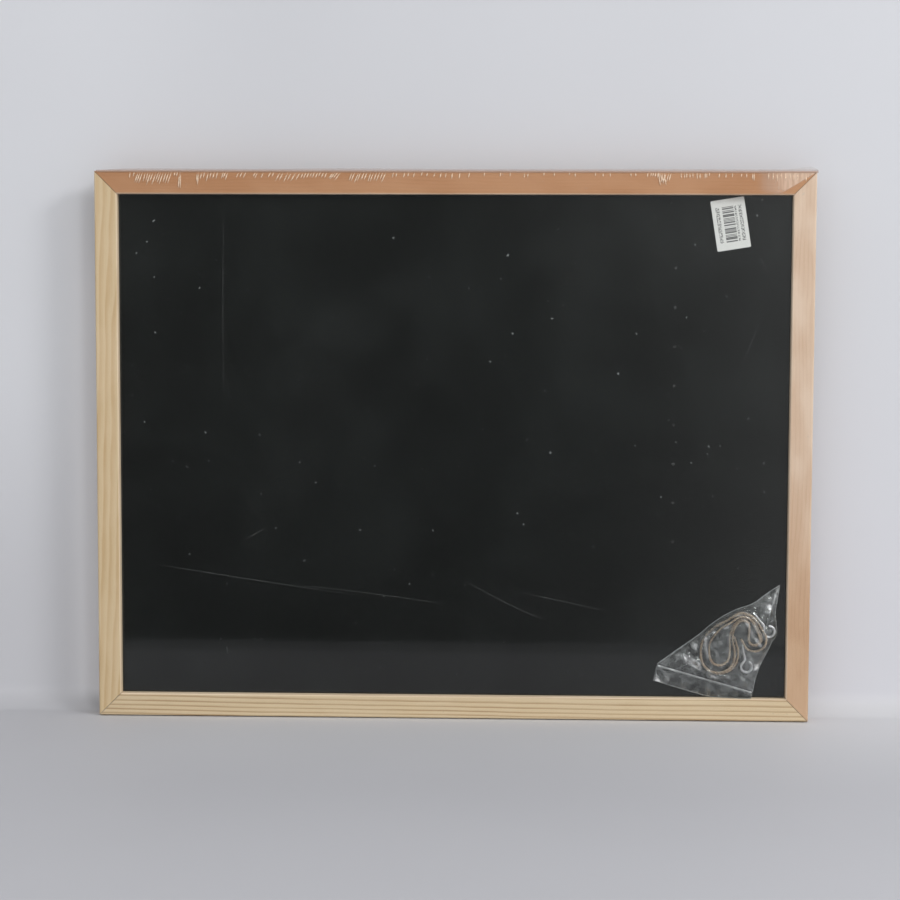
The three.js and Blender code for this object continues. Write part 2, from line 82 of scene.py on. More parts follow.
def on_panel(x, z, height):
    """A point in the recess: millimetres from its lower right corner, and forwards from the panel."""
    return kit_corner + Vector((x, -height, z)) * MM


# %% [markdown]
# ## Camera
#
# The camera was solved from points along the edges of the frame and its opening in the photograph. It stands
# 1.2 m in front of the board, a little above its middle, and looks slightly down. The lens gives
# 2000 pixels of focal length on a picture 900 pixels wide.

# %% Place the camera
CAMERA_PLACE = Vector((36.2, -1193.9, 254.6)) * MM
CAMERA_PITCH = math.radians(4.433)
CAMERA_YAW = math.radians(-1.82)
CAMERA_ROLL = math.radians(0.2)
FOCAL_PIXELS = 2000
PICTURE_PIXELS = 900
SENSOR_WIDTH = 36
NEAREST = 0.01

ahead = Vector((math.sin(CAMERA_YAW) * math.cos(CAMERA_PITCH),
                math.cos(CAMERA_YAW) * math.cos(CAMERA_PITCH),
                -math.sin(CAMERA_PITCH)))
level = Vector((math.cos(CAMERA_YAW), -math.sin(CAMERA_YAW), 0))
upright = level.cross(ahead)
rightward = level * math.cos(CAMERA_ROLL) + upright * math.sin(CAMERA_ROLL)
upward = upright * math.cos(CAMERA_ROLL) - level * math.sin(CAMERA_ROLL)

camera_data = bpy.data.cameras.new("camera")
camera_data.sensor_width = SENSOR_WIDTH
camera_data.lens = FOCAL_PIXELS / PICTURE_PIXELS * SENSOR_WIDTH
camera_data.clip_start = NEAREST
camera = bpy.data.objects.new("camera", camera_data)
turned = Matrix((rightward, upward, -ahead)).transposed()
camera.matrix_world = Matrix.Translation(CAMERA_PLACE) @ turned.to_4x4()
scene.collection.objects.link(camera)
scene.camera = camera
print(f"camera with a {camera_data.lens:.0f} mm lens at {tuple(round(v, 3) for v in CAMERA_PLACE)}")

# %% [markdown]
# ## Node trees as sentences
#
# A finish is a tree of nodes, and a long tree is hard to read as code. Two small classes help. `Socket`
# wraps one output, so that `1 - mask * 0.4` adds its Math nodes. `Tree` adds any other node with one
# method, from the node's kind, the values or links of its sockets and its settings. Shader trees and
# Geometry Nodes trees are both built this way.

# %% A socket that can be calculated with
def math_node(operation, swapped=False):
    """A method that adds one Math node. Swapped puts the socket itself last."""
    def method(self, *others):
        values = (*others, self) if swapped else (self, *others)
        return self.tree.node("ShaderNodeMath", dict(enumerate(values)), operation=operation)
    return method


class Socket:
    """One output socket of a node tree."""

    __add__ = __radd__ = math_node("ADD")
    __sub__ = math_node("SUBTRACT")
    __rsub__ = math_node("SUBTRACT", swapped=True)
    __mul__ = __rmul__ = math_node("MULTIPLY")
    __truediv__ = math_node("DIVIDE")
    __pow__ = math_node("POWER")
    __abs__ = math_node("ABSOLUTE")
    largest = math_node("MAXIMUM")
    smallest = math_node("MINIMUM")
    fract = math_node("FRACT")
    sin = math_node("SINE")
    cos = math_node("COSINE")
    angle_to = math_node("ARCTAN2")

    def __init__(self, tree, socket):
        self.tree = tree
        self.socket = socket

    def step(self, low, high):
        """Rises smoothly from 0 at low to 1 at high."""
        sockets = {"Value": self, "From Min": low, "From Max": high}
        return self.tree.node("ShaderNodeMapRange", sockets, interpolation_type="SMOOTHSTEP")


# %% A tree that adds nodes
class Tree:
    """A node tree that is being built, and the material or group that owns it."""

    def __init__(self, tree, owner=None):
        self.tree = tree
        self.owner = owner

    def node(self, kind, sockets=None, output=0, **settings):
        """Adds a node: its settings, the values or links of its sockets, and the output to go on with."""
        node = self.tree.nodes.new(kind)
        for name, value in settings.items():
            setattr(node, name, value)
        for key, value in (sockets or {}).items():
            if isinstance(value, Socket):
                self.tree.links.new(value.socket, node.inputs[key])
            else:
                node.inputs[key].default_value = value
        return Socket(self, node.outputs[output] if len(node.outputs) else None)

    def mix(self, factor, first, second, blend="MIX"):
        """Mixes two colours."""
        sockets = {0: factor, 6: first, 7: second}
        return self.node("ShaderNodeMix", sockets, 2, data_type="RGBA", blend_type=blend)

    def split(self, vector):
        """The three numbers of a vector."""
        whole = self.node("ShaderNodeSeparateXYZ", {0: vector})
        return [Socket(self, socket) for socket in whole.socket.node.outputs]

    def join(self, x, y, z):
        """A vector of three numbers."""
        return self.node("ShaderNodeCombineXYZ", {0: x, 1: y, 2: z})

    def mark(self, name):
        """A number that the mesh carries under a name."""
        return self.node("ShaderNodeAttribute", {}, "Fac", attribute_name=name)

    def noise(self, vector, scale, detail=2.0, roughness=0.5, distortion=0.0):
        sockets = {"Vector": vector, "Scale": scale, "Detail": detail,
                   "Roughness": roughness, "Distortion": distortion}
        return self.node("ShaderNodeTexNoise", sockets, "Fac")

    def bump(self, height, distance, strength=1.0):
        sockets = {"Height": height, "Distance": distance, "Strength": strength}
        return self.node("ShaderNodeBump", sockets, "Normal")


# %% Colours and finishes
def srgb(red, green, blue):
    """A colour as it is read from a screen, 0 to 255, made linear for the renderer."""
    def linear(value):
        value /= 255
        return value / 12.92 if value <= 0.04045 else ((value + 0.055) / 1.055) ** 2.4
    return (linear(red), linear(green), linear(blue), 1.0)


def new_finish(name):
    """The bare tree of a new material, and the place of its texture on the object."""
    material = bpy.data.materials.new(name)
    material.use_nodes = True
    material.node_tree.nodes.clear()
    tree = Tree(material.node_tree, material)
    return tree, tree.node("ShaderNodeTexCoord", output="Object")


def finish_surface(tree, **values):
    """Ends a tree in one Principled BSDF. Names with an underscore stand for names with a space."""
    sockets = {name.replace("_", " "): value for name, value in values.items()}
    surface = tree.node("ShaderNodeBsdfPrincipled", sockets)
    tree.node("ShaderNodeOutputMaterial", {"Surface": surface})
    return tree.owner


# %% Meshes and their place on the board
def mesh_object(name, rows, faces=()):
    """An object whose mesh is made from places and from faces."""
    mesh = bpy.data.meshes.new(name)
    mesh.from_pydata(rows, [], faces)
    return bpy.data.objects.new(name, mesh)


def carry(piece, material=None):
    """Puts a finished piece on the one body of the board."""
    if material:
        piece.data.materials.clear()
        piece.data.materials.append(material)
    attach(piece, "root")


def dress(node, finish):
    """Gives a CAD node its finish."""
    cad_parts[node].data.materials[0] = finish


# %% [markdown]
# ## Hanging twine
#
# The twine comes first, because its route is fixed in CAD and the bag has to lie over it. Three loops
# spiral in along the panel, climb a layer at the left lobe and spiral out again on top. The formula is
# the one that made the solid, with the same points, so the twine lies where the solid is.

# %% The hank's middle line
TWINE = 1.6
TWINE_GAP = 0.45
TWINE_TURNS = 3
LOWER_LAYER = 1.25
UPPER_LAYER = LOWER_LAYER + TWINE + TWINE_GAP
LEFT_END_STEPS = 6
RIGHT_END_STEPS = 4
START_STEP = 5
CLIMB_START = 29
CLIMB_STEPS = 9
TWINE_STEPS = 5

# Each place holds x and z in the recess, the innermost loop's half width and its growth outwards
HANK_LINE = [
    (-40.0, 25.6, 5.4, 7.8), (-39.6, 32.6, 5.4, 7.0), (-36.8, 39.5, 3.2, 5.0),
    (-32.1, 45.0, 0.8, 3.7), (-26.8, 48.7, 0.2, 3.5), (-21.7, 46.9, 0.3, 3.5),
    (-19.6, 41.7, 0.9, 4.3), (-18.6, 35.7, 1.7, 5.8),
]


def line_direction(index):
    """The direction of a centripetal curve through the middle line, at one of its places."""
    points = [np.array(place[:2]) for place in HANK_LINE]
    here = points[index]
    before = points[index - 1] if index > 0 else 2 * here - points[1]
    after = points[index + 1] if index + 1 < len(points) else 2 * here - points[index - 1]
    first = math.sqrt(np.linalg.norm(here - before))
    second = math.sqrt(np.linalg.norm(after - here))
    slope = (here - before) / first - (after - before) / (first + second) + (after - here) / second
    return slope / np.linalg.norm(slope)


# %% The hank's route
def hank_turn():
    """The steps of one turn: a place on the middle line and an angle round it."""
    last = len(HANK_LINE) - 1
    steps = [(place, math.pi) for place in range(last, 0, -1)]
    steps += [(0, math.pi * (1 + i / LEFT_END_STEPS)) for i in range(LEFT_END_STEPS)]
    steps += [(place, 0.0) for place in range(last)]
    steps += [(last, math.pi * i / RIGHT_END_STEPS) for i in range(RIGHT_END_STEPS)]
    return steps


def smooth_step(value, low, high):
    share = min(max((value - low) / (high - low), 0), 1)
    return share * share * (3 - 2 * share)


def hank_route():
    """Points of the twine in the recess, in millimetres: x, z and height."""
    turn = hank_turn()
    count = TWINE_TURNS * len(turn)
    route = []
    for i in range(START_STEP, count + 1):
        place, angle = turn[i % len(turn)]
        x, z, inner, growth = HANK_LINE[place]
        along = line_direction(place)
        outward = np.array((-along[1], along[0]))
        half_width = inner + growth * abs(1 - 2 * i / count)
        spot = np.array((x, z)) + half_width * (outward * math.cos(angle) + along * math.sin(angle))
        climb = smooth_step(i, CLIMB_START, CLIMB_START + CLIMB_STEPS)
        route.append(np.array((*spot, LOWER_LAYER + (UPPER_LAYER - LOWER_LAYER) * climb)))
    for end, neighbour in ((0, 1), (-1, -2)):
        outwards = route[end] - route[neighbour]
        tip = route[end] + outwards / np.linalg.norm(outwards) * TWINE
        route.insert(0 if end == 0 else len(route), tip)
    return route


def smooth_route(route, steps):
    """A centripetal curve through the points, with a number of steps from each to the next."""
    ends = [2 * route[0] - route[1], *route, 2 * route[-1] - route[-2]]
    points = []
    for a, b, c, d in zip(ends, ends[1:], ends[2:], ends[3:]):
        gaps = [math.sqrt(np.linalg.norm(q - p)) for p, q in ((a, b), (b, c), (c, d))]
        leave = (b - a) / gaps[0] - (c - a) / (gaps[0] + gaps[1]) + (c - b) / gaps[1]
        reach = (c - b) / gaps[1] - (d - b) / (gaps[1] + gaps[2]) + (d - c) / gaps[2]
        leave, reach = leave * gaps[1], reach * gaps[1]
        for i in range(steps):
            t = i / steps
            cubic = 2 * b - 2 * c + leave + reach
            square = -3 * b + 3 * c - 2 * leave - reach
            points.append(b + leave * t + square * t * t + cubic * t ** 3)
    points.append(route[-1])
    return points


twine_path = smooth_route(hank_route(), TWINE_STEPS)
twine_points = [on_panel(*point) for point in twine_path]

# %% [markdown]
# Jute twine is two yarns laid round each other, so its section is two round lobes that turn as they run
# along. Geometry Nodes do this: the route is swept with a lobed profile while the tilt grows along it.
# The length along the twine and the angle round it are kept as attributes, for the fibres in its finish.

# %% Helpers for Geometry Nodes
def geometry_tree(name, sizes):
    """A Geometry Nodes tree with a geometry input, named sizes and a material."""
    group = bpy.data.node_groups.new(name, "GeometryNodeTree")
    kinds = [("Geometry", "Geometry"), *((size, "Float") for size in sizes), ("Material", "Material")]
    for socket, kind in kinds:
        group.interface.new_socket(socket, in_out="INPUT", socket_type="NodeSocket" + kind)
    group.interface.new_socket("Geometry", in_out="OUTPUT", socket_type="NodeSocketGeometry")
    tree = Tree(group, group)
    start = group.nodes.new("NodeGroupInput")
    return tree, {socket.name: Socket(tree, socket) for socket in start.outputs if socket.name}


def end_tree(tree, geometry, inputs):
    """Makes what was built real, gives it its material and sends it out."""
    real = tree.node("GeometryNodeRealizeInstances", {"Geometry": geometry})
    smooth = tree.node("GeometryNodeSetShadeSmooth", {"Geometry": real})
    dressed = tree.node("GeometryNodeSetMaterial", {"Geometry": smooth, "Material": inputs["Material"]})
    tree.node("NodeGroupOutput", {0: dressed})
    return tree.owner


def circle(tree, sides, radius=1.0):
    return tree.node("GeometryNodeCurvePrimitiveCircle", {"Resolution": sides, "Radius": radius})


def store_mark(tree, geometry, name, value):
    return tree.node("GeometryNodeStoreNamedAttribute",
                     {"Geometry": geometry, "Name": name, "Value": value}, domain="POINT")


def sweep_profile(tree, line, profile, scale=1.0):
    sockets = {"Curve": line, "Profile Curve": profile, "Scale": scale, "Fill Caps": True}
    return tree.node("GeometryNodeCurveToMesh", sockets)


def run_tree(source, group, name, **sizes):
    """Runs a tree on an object and keeps the result as a plain mesh."""
    scene.collection.objects.link(source)
    modifier = source.modifiers.new("build", "NODES")
    modifier.node_group = group
    for socket in group.interface.items_tree:
        if socket.in_out == "INPUT" and socket.name.replace(" ", "_") in sizes:
            modifier[socket.identifier] = sizes[socket.name.replace(" ", "_")]
    evaluated = source.evaluated_get(bpy.context.evaluated_depsgraph_get())
    mesh = bpy.data.meshes.new_from_object(evaluated)
    source.modifiers.remove(modifier)
    bpy.data.objects.remove(source)
    piece = bpy.data.objects.new(name, mesh)
    mesh.name = name
    scene.collection.objects.link(piece)
    return piece


def curve_object(name, runs):
    """An object of open curves. Each run holds its points and a radius for each of them."""
    curve = bpy.data.curves.new(name, "CURVE")
    curve.dimensions = "3D"
    curve.twist_mode = "MINIMUM"
    for points, radii in runs:
        spline = curve.splines.new("POLY")
        spline.points.add(len(points) - 1)
        for spot, point, radius in zip(spline.points, points, radii):
            spot.co = (*point, 1)
            spot.radius = radius
    return bpy.data.objects.new(name, curve)


def even_run(points, radius):
    """One run with one radius."""
    return [(points, [radius] * len(points))]


# %% The tree that lays twine
# The lobes are shares of the twine's diameter: the outline's mean radius, and its swing
LOBE_MEAN = 0.4
LOBE_SWING = 0.1
LAY_LENGTH = 4.2 * MM
TWINE_SIDES = 14


def twine_tree():
    tree, inputs = geometry_tree("lay_twine", ["Diameter", "Lay Length"])
    spline = tree.node("GeometryNodeSplineParameter", output="Length")
    tilt = spline / inputs["Lay Length"] * (2 * math.pi)
    tilted = tree.node("GeometryNodeSetCurveTilt", {"Curve": inputs["Geometry"], "Tilt": tilt})
    marked = store_mark(tree, tilted, "along", spline)
    x, y, _ = tree.split(tree.node("GeometryNodeInputPosition"))
    angle = y.angle_to(x)
    reach = inputs["Diameter"] * (LOBE_MEAN + LOBE_SWING * (angle * 2).cos())
    outline = tree.join(angle.cos() * reach, angle.sin() * reach, 0.0)
    lobes = tree.node("GeometryNodeSetPosition",
                      {"Geometry": circle(tree, TWINE_SIDES), "Position": outline})
    rounded = store_mark(tree, lobes, "around", angle)
    return end_tree(tree, sweep_profile(tree, marked, rounded), inputs)


# %% [markdown]
# The finish of jute follows the lay: fine light and dark fibres that run a little slanted to the yarn,
# pale straw where the light catches them and a painted brown shade between the yarns.

# %% The finish of jute
def jute_finish():
    tree, place = new_finish("jute_twine")
    along = tree.mark("along")
    around = tree.mark("around")
    slant = tree.join(along * 900.0 + around * 0.9, around * 4.0, along * 90.0)
    fibres = tree.noise(slant, 1.0, 3.0, 0.6)
    blotches = tree.noise(place, 260.0, 2.0)
    groove = (1 - (around * 2).cos()) * 0.5
    light = tree.mix(fibres.step(0.3, 0.7), srgb(186, 162, 136), srgb(246, 232, 212))
    worn = tree.mix(blotches.step(0.35, 0.75) * 0.5, light, srgb(196, 164, 128))
    # Painted shade: the groove between the two yarns is darkened to brown
    color = tree.mix(groove.step(0.55, 1.0) * 0.5, worn, srgb(130, 100, 74))
    normal = tree.bump(fibres - groove * 0.6, 0.00008, 0.8)
    return finish_surface(tree, Base_Color=color, Roughness=0.85, Normal=normal)


# %% Lay the twine
jute = jute_finish()
lay = curve_object("twine_route", even_run(twine_points, 1.0))
twine = run_tree(lay, twine_tree(), "twine", Diameter=TWINE * MM, Lay_Length=LAY_LENGTH, Material=jute)
print(f"twine mesh: {len(twine.data.polygons)} faces")

# %% [markdown]
# Loose fibres stand off real jute. They are short hairs, scattered over the twine's surface by a second
# tree and bent a little by chance. A fixed seed keeps them the same on every run.

# %% The tree that scatters loose fibres
FIBRE_LENGTH = 1.3 * MM
FIBRE_RADIUS = 0.03 * MM
FIBRES_PER_SQUARE_METRE = 420000.0


def fibre_tree():
    tree, inputs = geometry_tree("loose_fibres", ["Density", "Fibre Length", "Fibre Radius"])
    spots = tree.node("GeometryNodeDistributePointsOnFaces",
                      {"Mesh": inputs["Geometry"], "Density": inputs["Density"], "Seed": 7})
    facing = Socket(tree, spots.socket.node.outputs["Rotation"])
    hair = tree.node("GeometryNodeCurvePrimitiveBezierSegment",
                     {"Resolution": 4, "Start": (0, 0, 0), "Start Handle": (0, 0, 0.5),
                      "End Handle": (0.45, 0, 0.8), "End": (1.0, 0.2, 0.72)})
    section = circle(tree, 3, inputs["Fibre Radius"] / inputs["Fibre Length"])
    strand = sweep_profile(tree, hair, section)
    spin = tree.node("FunctionNodeRandomValue",
                     {"Min": (-0.5, -0.5, 0.0), "Max": (0.5, 0.5, 6.28), "Seed": 3},
                     data_type="FLOAT_VECTOR")
    turn = tree.node("FunctionNodeRotateRotation", {"Rotation": facing, "Rotate By": spin},
                     rotation_space="LOCAL")
    size = tree.node("FunctionNodeRandomValue", {2: 0.4, 3: 1.0, "Seed": 5}, 1, data_type="FLOAT")
    hairs = tree.node("GeometryNodeInstanceOnPoints",
                      {"Points": spots, "Instance": strand, "Rotation": turn,
                       "Scale": size * inputs["Fibre Length"]})
    return end_tree(tree, hairs, inputs)


fibre_seat = bpy.data.objects.new("fibre_seat", twine.data.copy())
fibres = run_tree(fibre_seat, fibre_tree(), "twine_fibres", Density=FIBRES_PER_SQUARE_METRE,
                  Fibre_Length=FIBRE_LENGTH, Fibre_Radius=FIBRE_RADIUS, Material=jute)
carry(twine)
carry(fibres)
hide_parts("hanging_twine")
print(f"loose fibres: {len(fibres.data.polygons)} faces")

# %% [markdown]
# ## Screw eyes
#
# Each eye is one bright zinc-plated wire: a ring that is almost closed, a neck and a threaded shank with
# a point. It is swept along its path by a tree with a radius for each point. The thread is a second,
# thinner wire wound round the shank.

# %% The path of the eye's wire
EYE_OUTER = 8.0
EYE_WIRE = 1.5
EYE_SHANK = 10.0
THREAD_LENGTH = 6.6
THREAD_PITCH = 0.9
THREAD_DEPTH = 0.22
POINT_LENGTH = 1.6
THREAD_STEPS = 24
EYE_MOUTH = 0.5
EYE_HEIGHT = 0.45 + EYE_WIRE / 2
NECK_ANGLE = math.radians(40)
NECK_STEPS = 6
RING_STEPS = 56
WIRE_SIDES = 18
# Each eye: the ring's middle in the recess in millimetres, and the shank's lean in degrees
EYE_PLACES = {"screw_eye_a": (-23.2, 18.8, 11), "screw_eye_b": (-10.0, 40.3, 40)}
SHANK_END = EYE_OUTER / 2 + EYE_SHANK
THREAD_CORE = EYE_WIRE / 2 - THREAD_DEPTH


def eye_wire():
    """The wire's middle line and radii, with the ring's middle at 0 and the shank pointing up."""
    ring_radius = (EYE_OUTER - EYE_WIRE) / 2
    mouth = (EYE_WIRE + EYE_MOUTH) / ring_radius
    arc = 2 * math.pi - mouth - NECK_ANGLE
    route = [np.array((ring_radius * math.sin(mouth + arc * i / RING_STEPS),
                       ring_radius * math.cos(mouth + arc * i / RING_STEPS), 0.0))
             for i in range(RING_STEPS + 1)]
    neck = [np.array(point) for point in ((-0.26 * EYE_OUTER / 2, ring_radius, 0.0),
                                          (-0.06 * EYE_OUTER / 2, EYE_OUTER / 2 + 0.3, 0.0),
                                          (0.0, EYE_OUTER / 2 + 1, 0.0),
                                          (0.0, SHANK_END - THREAD_LENGTH - THREAD_DEPTH, 0.0))]
    points = route[:-1] + smooth_route([route[-1], *neck], NECK_STEPS)
    radii = [EYE_WIRE / 2] * len(points)
    for reach, radius in ((SHANK_END - THREAD_LENGTH, THREAD_CORE),
                          (SHANK_END - POINT_LENGTH, THREAD_CORE), (SHANK_END, THREAD_CORE / 8)):
        points.append(np.array((0.0, reach, 0.0)))
        radii.append(radius)
    return points, radii


def eye_thread():
    """The thread's line: a helix that runs out into the shank below and into the point above."""
    climb = THREAD_LENGTH - POINT_LENGTH / 3
    steps = int(climb / THREAD_PITCH * THREAD_STEPS)
    points = []
    for i in range(steps + 1):
        reach = SHANK_END - THREAD_LENGTH + climb * i / steps
        width = THREAD_CORE * min(1.0, (SHANK_END - reach) / POINT_LENGTH + 0.1)
        angle = 2 * math.pi * i / THREAD_STEPS
        points.append(np.array((width * math.cos(angle), reach, width * math.sin(angle))))
    half = THREAD_STEPS / 2
    ramp = [min(1.0, i / half, (steps - i) / half + 0.15) for i in range(steps + 1)]
    return points, [THREAD_DEPTH * 0.85 * share + 0.02 for share in ramp]


# %% The tree that sweeps wire
def wire_tree():
    tree, inputs = geometry_tree("sweep_wire", ["Thickness"])
    section = circle(tree, WIRE_SIDES, inputs["Thickness"])
    radius = tree.node("GeometryNodeInputRadius")
    return end_tree(tree, sweep_profile(tree, inputs["Geometry"], section, radius), inputs)


sweep_wire = wire_tree()


def sweep(name, runs, material):
    """Sweeps wire along runs whose radii are in millimetres, and puts it on the board."""
    piece = run_tree(curve_object(name, runs), sweep_wire, name, Thickness=MM, Material=material)
    carry(piece)
    return piece


# %% [markdown]
# Zinc plate on a wire is bright but not a mirror. Its colour is a cool, nearly white grey, and a fine
# grain in its roughness and bump breaks up the highlights as drawn wire does.

# %% The finish of zinc and of nail steel
def metal_finish(name, color, stain, metallic=1.0):
    tree, place = new_finish(name)
    grain = tree.noise(place, 2600.0, 3.0, 0.6)
    cloud = tree.noise(place, 420.0, 2.0)
    tone = tree.mix(cloud.step(0.4, 0.75), color, stain)
    return finish_surface(tree, Base_Color=tone, Metallic=metallic, Roughness=grain * 0.16 + 0.3,
                          Normal=tree.bump(grain, 0.00003, 0.35))


# %% Make both eyes
zinc = metal_finish("zinc_plate", srgb(244, 245, 247), srgb(218, 220, 223), metallic=0.72)
wire_points, wire_radii = eye_wire()
thread_points, thread_radii = eye_thread()


def eye_points(place, points):
    """Points of an eye's own drawing, moved to its place in the recess and turned by its lean."""
    x, z, lean = place
    turn = math.radians(lean)
    along = np.array((-math.sin(turn), math.cos(turn)))
    across = np.array((math.cos(turn), math.sin(turn)))
    return [(*(np.array((x, z)) + across * p[0] + along * p[1]), EYE_HEIGHT + p[2]) for p in points]


eye_lines = []
for name, place in EYE_PLACES.items():
    eye_lines.append(eye_points(place, wire_points))
    runs = [([on_panel(*p) for p in eye_points(place, points)], radii)
            for points, radii in ((wire_points, wire_radii), (thread_points, thread_radii))]
    eye = sweep(name + "_wire", runs, zinc)
    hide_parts(name)
    print(name, len(eye.data.polygons), "faces")

# %% [markdown]
# ## The grip-seal bag
#
# A solid can't show that, so it is made here as sheets: one that lies on the panel and two that are drawn
# over the twine and the eyes. A sheet's height is found as a tight skin would find it. It starts flat, it
# may not sink below what lies under it, and each point moves again and again to the average of its
# neighbours.

# %% The bag's outline in the recess
CLOSURE_LEFT = (-76.6, 20.1)
CLOSURE_RIGHT = (-19.1, 3.9)
BAG_TIP = (-3.9, 68.4)
BAG_SIDE = [
    (-17.5, 12.0), (-15.2, 19.0), (-12.4, 25.0), (-9.6, 30.5), (-8.2, 34.0), (-6.2, 36.6),
    (-5.3, 40.3), (-5.6, 44.2), (-6.3, 52.0), (-5.1, 60.0),
]
BAG_FOLD = [
    (-12.0, 62.9), (-18.5, 57.9), (-23.0, 55.8), (-27.0, 54.5), (-35.6, 50.5), (-43.9, 44.9), (-51.8, 38.2),
]
HEADER_DEPTH = 10.3
RAIL_GAP = 0.35
GRID_STEP = 0.4
GRID_CORNER = np.array((-80.0, -12.0))
GRID_SIZE = (200, 210)

closure_left = np.array(CLOSURE_LEFT)
closure_right = np.array(CLOSURE_RIGHT)
closure_length = float(np.linalg.norm(closure_right - closure_left))
closure_along = (closure_right - closure_left) / closure_length
closure_down = np.array((closure_along[1], -closure_along[0]))


def header_point(along, down):
    return tuple(closure_left + closure_along * along + closure_down * down)


header_edge = [header_point(0.2, HEADER_DEPTH * 0.5), header_point(0.5, HEADER_DEPTH),
               header_point(closure_length * 0.5, HEADER_DEPTH + 0.3),
               header_point(closure_length + 0.6, HEADER_DEPTH - 0.4),
               header_point(closure_length + 0.4, HEADER_DEPTH * 0.45)]
bag_edge = [CLOSURE_LEFT, *header_edge, CLOSURE_RIGHT, *BAG_SIDE, BAG_TIP, *BAG_FOLD]
print(f"press closure {closure_length:.1f} mm long, header {HEADER_DEPTH} mm deep")


TWINE_MARGIN = 0.12
EYE_MARGIN = 0.1
EYE_STEPS = 3
SHANK_STEPS = 40
FAR_BELOW = 9


def grid_points():
    """The x and z of every point of the grid, in millimetres from the recess's corner."""
    columns, rows = GRID_SIZE
    x = GRID_CORNER[0] + GRID_STEP * np.arange(columns)
    z = GRID_CORNER[1] + GRID_STEP * np.arange(rows)
    return np.meshgrid(x, z, indexing="ij")


def inside_outline(x, z, outline):
    """True for the grid points that lie inside a closed outline."""
    inside = np.zeros(x.shape, bool)
    for (x0, z0), (x1, z1) in zip(outline, outline[1:] + outline[:1]):
        crosses = (z0 > z) != (z1 > z)
        rise = z1 - z0 if z1 != z0 else 1e-9
        inside ^= crosses & (x < (x1 - x0) * (z - z0) / rise + x0)
    return inside


def cover_run(floor, points, radius):
    """Raises a grid of heights over a round run through the points."""
    x, z = grid_points()
    reach = int(radius / GRID_STEP) + 2
    for px, pz, height in points:
        i = int((px - GRID_CORNER[0]) / GRID_STEP)
        j = int((pz - GRID_CORNER[1]) / GRID_STEP)
        near = (slice(max(i - reach, 0), i + reach), slice(max(j - reach, 0), j + reach))
        apart = (x[near] - px) ** 2 + (z[near] - pz) ** 2
        outside = apart > radius ** 2
        top = height + np.sqrt(np.maximum(radius ** 2 - apart, 0)) - FAR_BELOW * outside
        floor[near] = np.maximum(floor[near], top)


kit_floor = np.zeros(GRID_SIZE)
cover_run(kit_floor, twine_path, TWINE / 2 + TWINE_MARGIN)
for line in eye_lines:
    dense = smooth_route([np.array(p) for p in line], EYE_STEPS)
    neck, tip = dense[-8], dense[-1]
    shank = [tip * t + neck * (1 - t) for t in np.linspace(0, 1, SHANK_STEPS)]
    cover_run(kit_floor, dense + shank, EYE_WIRE / 2 + EYE_MARGIN)
bag_inside = inside_outline(*grid_points(), bag_edge)
print(f"the kit reaches {kit_floor.max():.2f} mm from the panel")


def drawn_skin(rest_height, slack, rounds):
    """Slack keeps it from sinking."""
    skin = np.where(bag_inside, np.maximum(kit_floor, rest_height), rest_height)
    for _ in range(rounds):
        mean = (skin[:-2, 1:-1] + skin[2:, 1:-1] + skin[1:-1, :-2] + skin[1:-1, 2:]) / 4
        eased = np.maximum(mean, kit_floor[1:-1, 1:-1])
        inner = bag_inside[1:-1, 1:-1]
        skin[1:-1, 1:-1] = np.where(inner, eased + slack, rest_height)
    return skin


# %% [markdown]
# Thin film that has been handled isn't smooth: it breaks into flat facets that meet in sharp creases.
# Each facet catches another light, and that is what makes a bag look like a bag. Folded waves in several
# directions give the small facets. The long creases and the large facets are listed where the photograph
# has them; the bright facets are mostly painted highlight, the faint ones clouded film.

# %% Crumples and creases
WAVE_COUNT = 5
WAVE_STEEPNESS = 0.17


def folded_waves(x, z, seed):
    """A crumpled surface: a sum of folded waves whose directions and lengths come from a fixed seed."""
    chance = random.Random(seed)
    total = np.zeros_like(x)
    for _ in range(WAVE_COUNT):
        angle = chance.uniform(0, math.pi)
        length = chance.uniform(5.0, 14.0)
        bend = chance.uniform(0.3, 1.0)
        shift = chance.uniform(0, 1)
        across = x * math.cos(angle) + z * math.sin(angle)
        beside = z * math.cos(angle) - x * math.sin(angle)
        phase = (across + bend * np.sin(beside / chance.uniform(4, 9))) / length + shift
        total += np.abs(phase % 1 - 0.5) * length * WAVE_STEEPNESS
    return total - total.mean()


# Long creases of the front film: start and end in the recess, width and rise, all in millimetres
CREASES = [
    ((-73.0, 24.0), (-58.0, 17.5), 1.6, 0.5), ((-68.0, 27.5), (-55.0, 20.0), 3.0, 0.9),
    ((-57.5, 34.0), (-53.0, 27.5), 1.6, 0.7), ((-62.5, 28.0), (-49.0, 19.0), 2.4, 0.9),
    ((-49.0, 16.5), (-33.0, 12.0), 1.4, 0.6), ((-28.5, 34.5), (-16.5, 19.5), 1.5, 0.8),
    ((-21.5, 50.0), (-9.5, 39.5), 1.2, 0.5), ((-25.0, 50.5), (-12.5, 35.0), 1.6, 0.6),
    ((-6.5, 66.0), (-11.0, 44.0), 1.2, 0.6), ((-17.0, 55.0), (-7.0, 60.5), 1.8, 0.6),
    ((-13.5, 53.5), (-9.0, 50.0), 1.8, 0.7), ((-29.0, 14.5), (-23.0, 7.5), 1.2, 0.5),
    ((-22.0, 27.5), (-17.5, 20.5), 1.0, 0.6), ((-37.0, 52.0), (-27.0, 49.5), 1.0, 0.4),
]
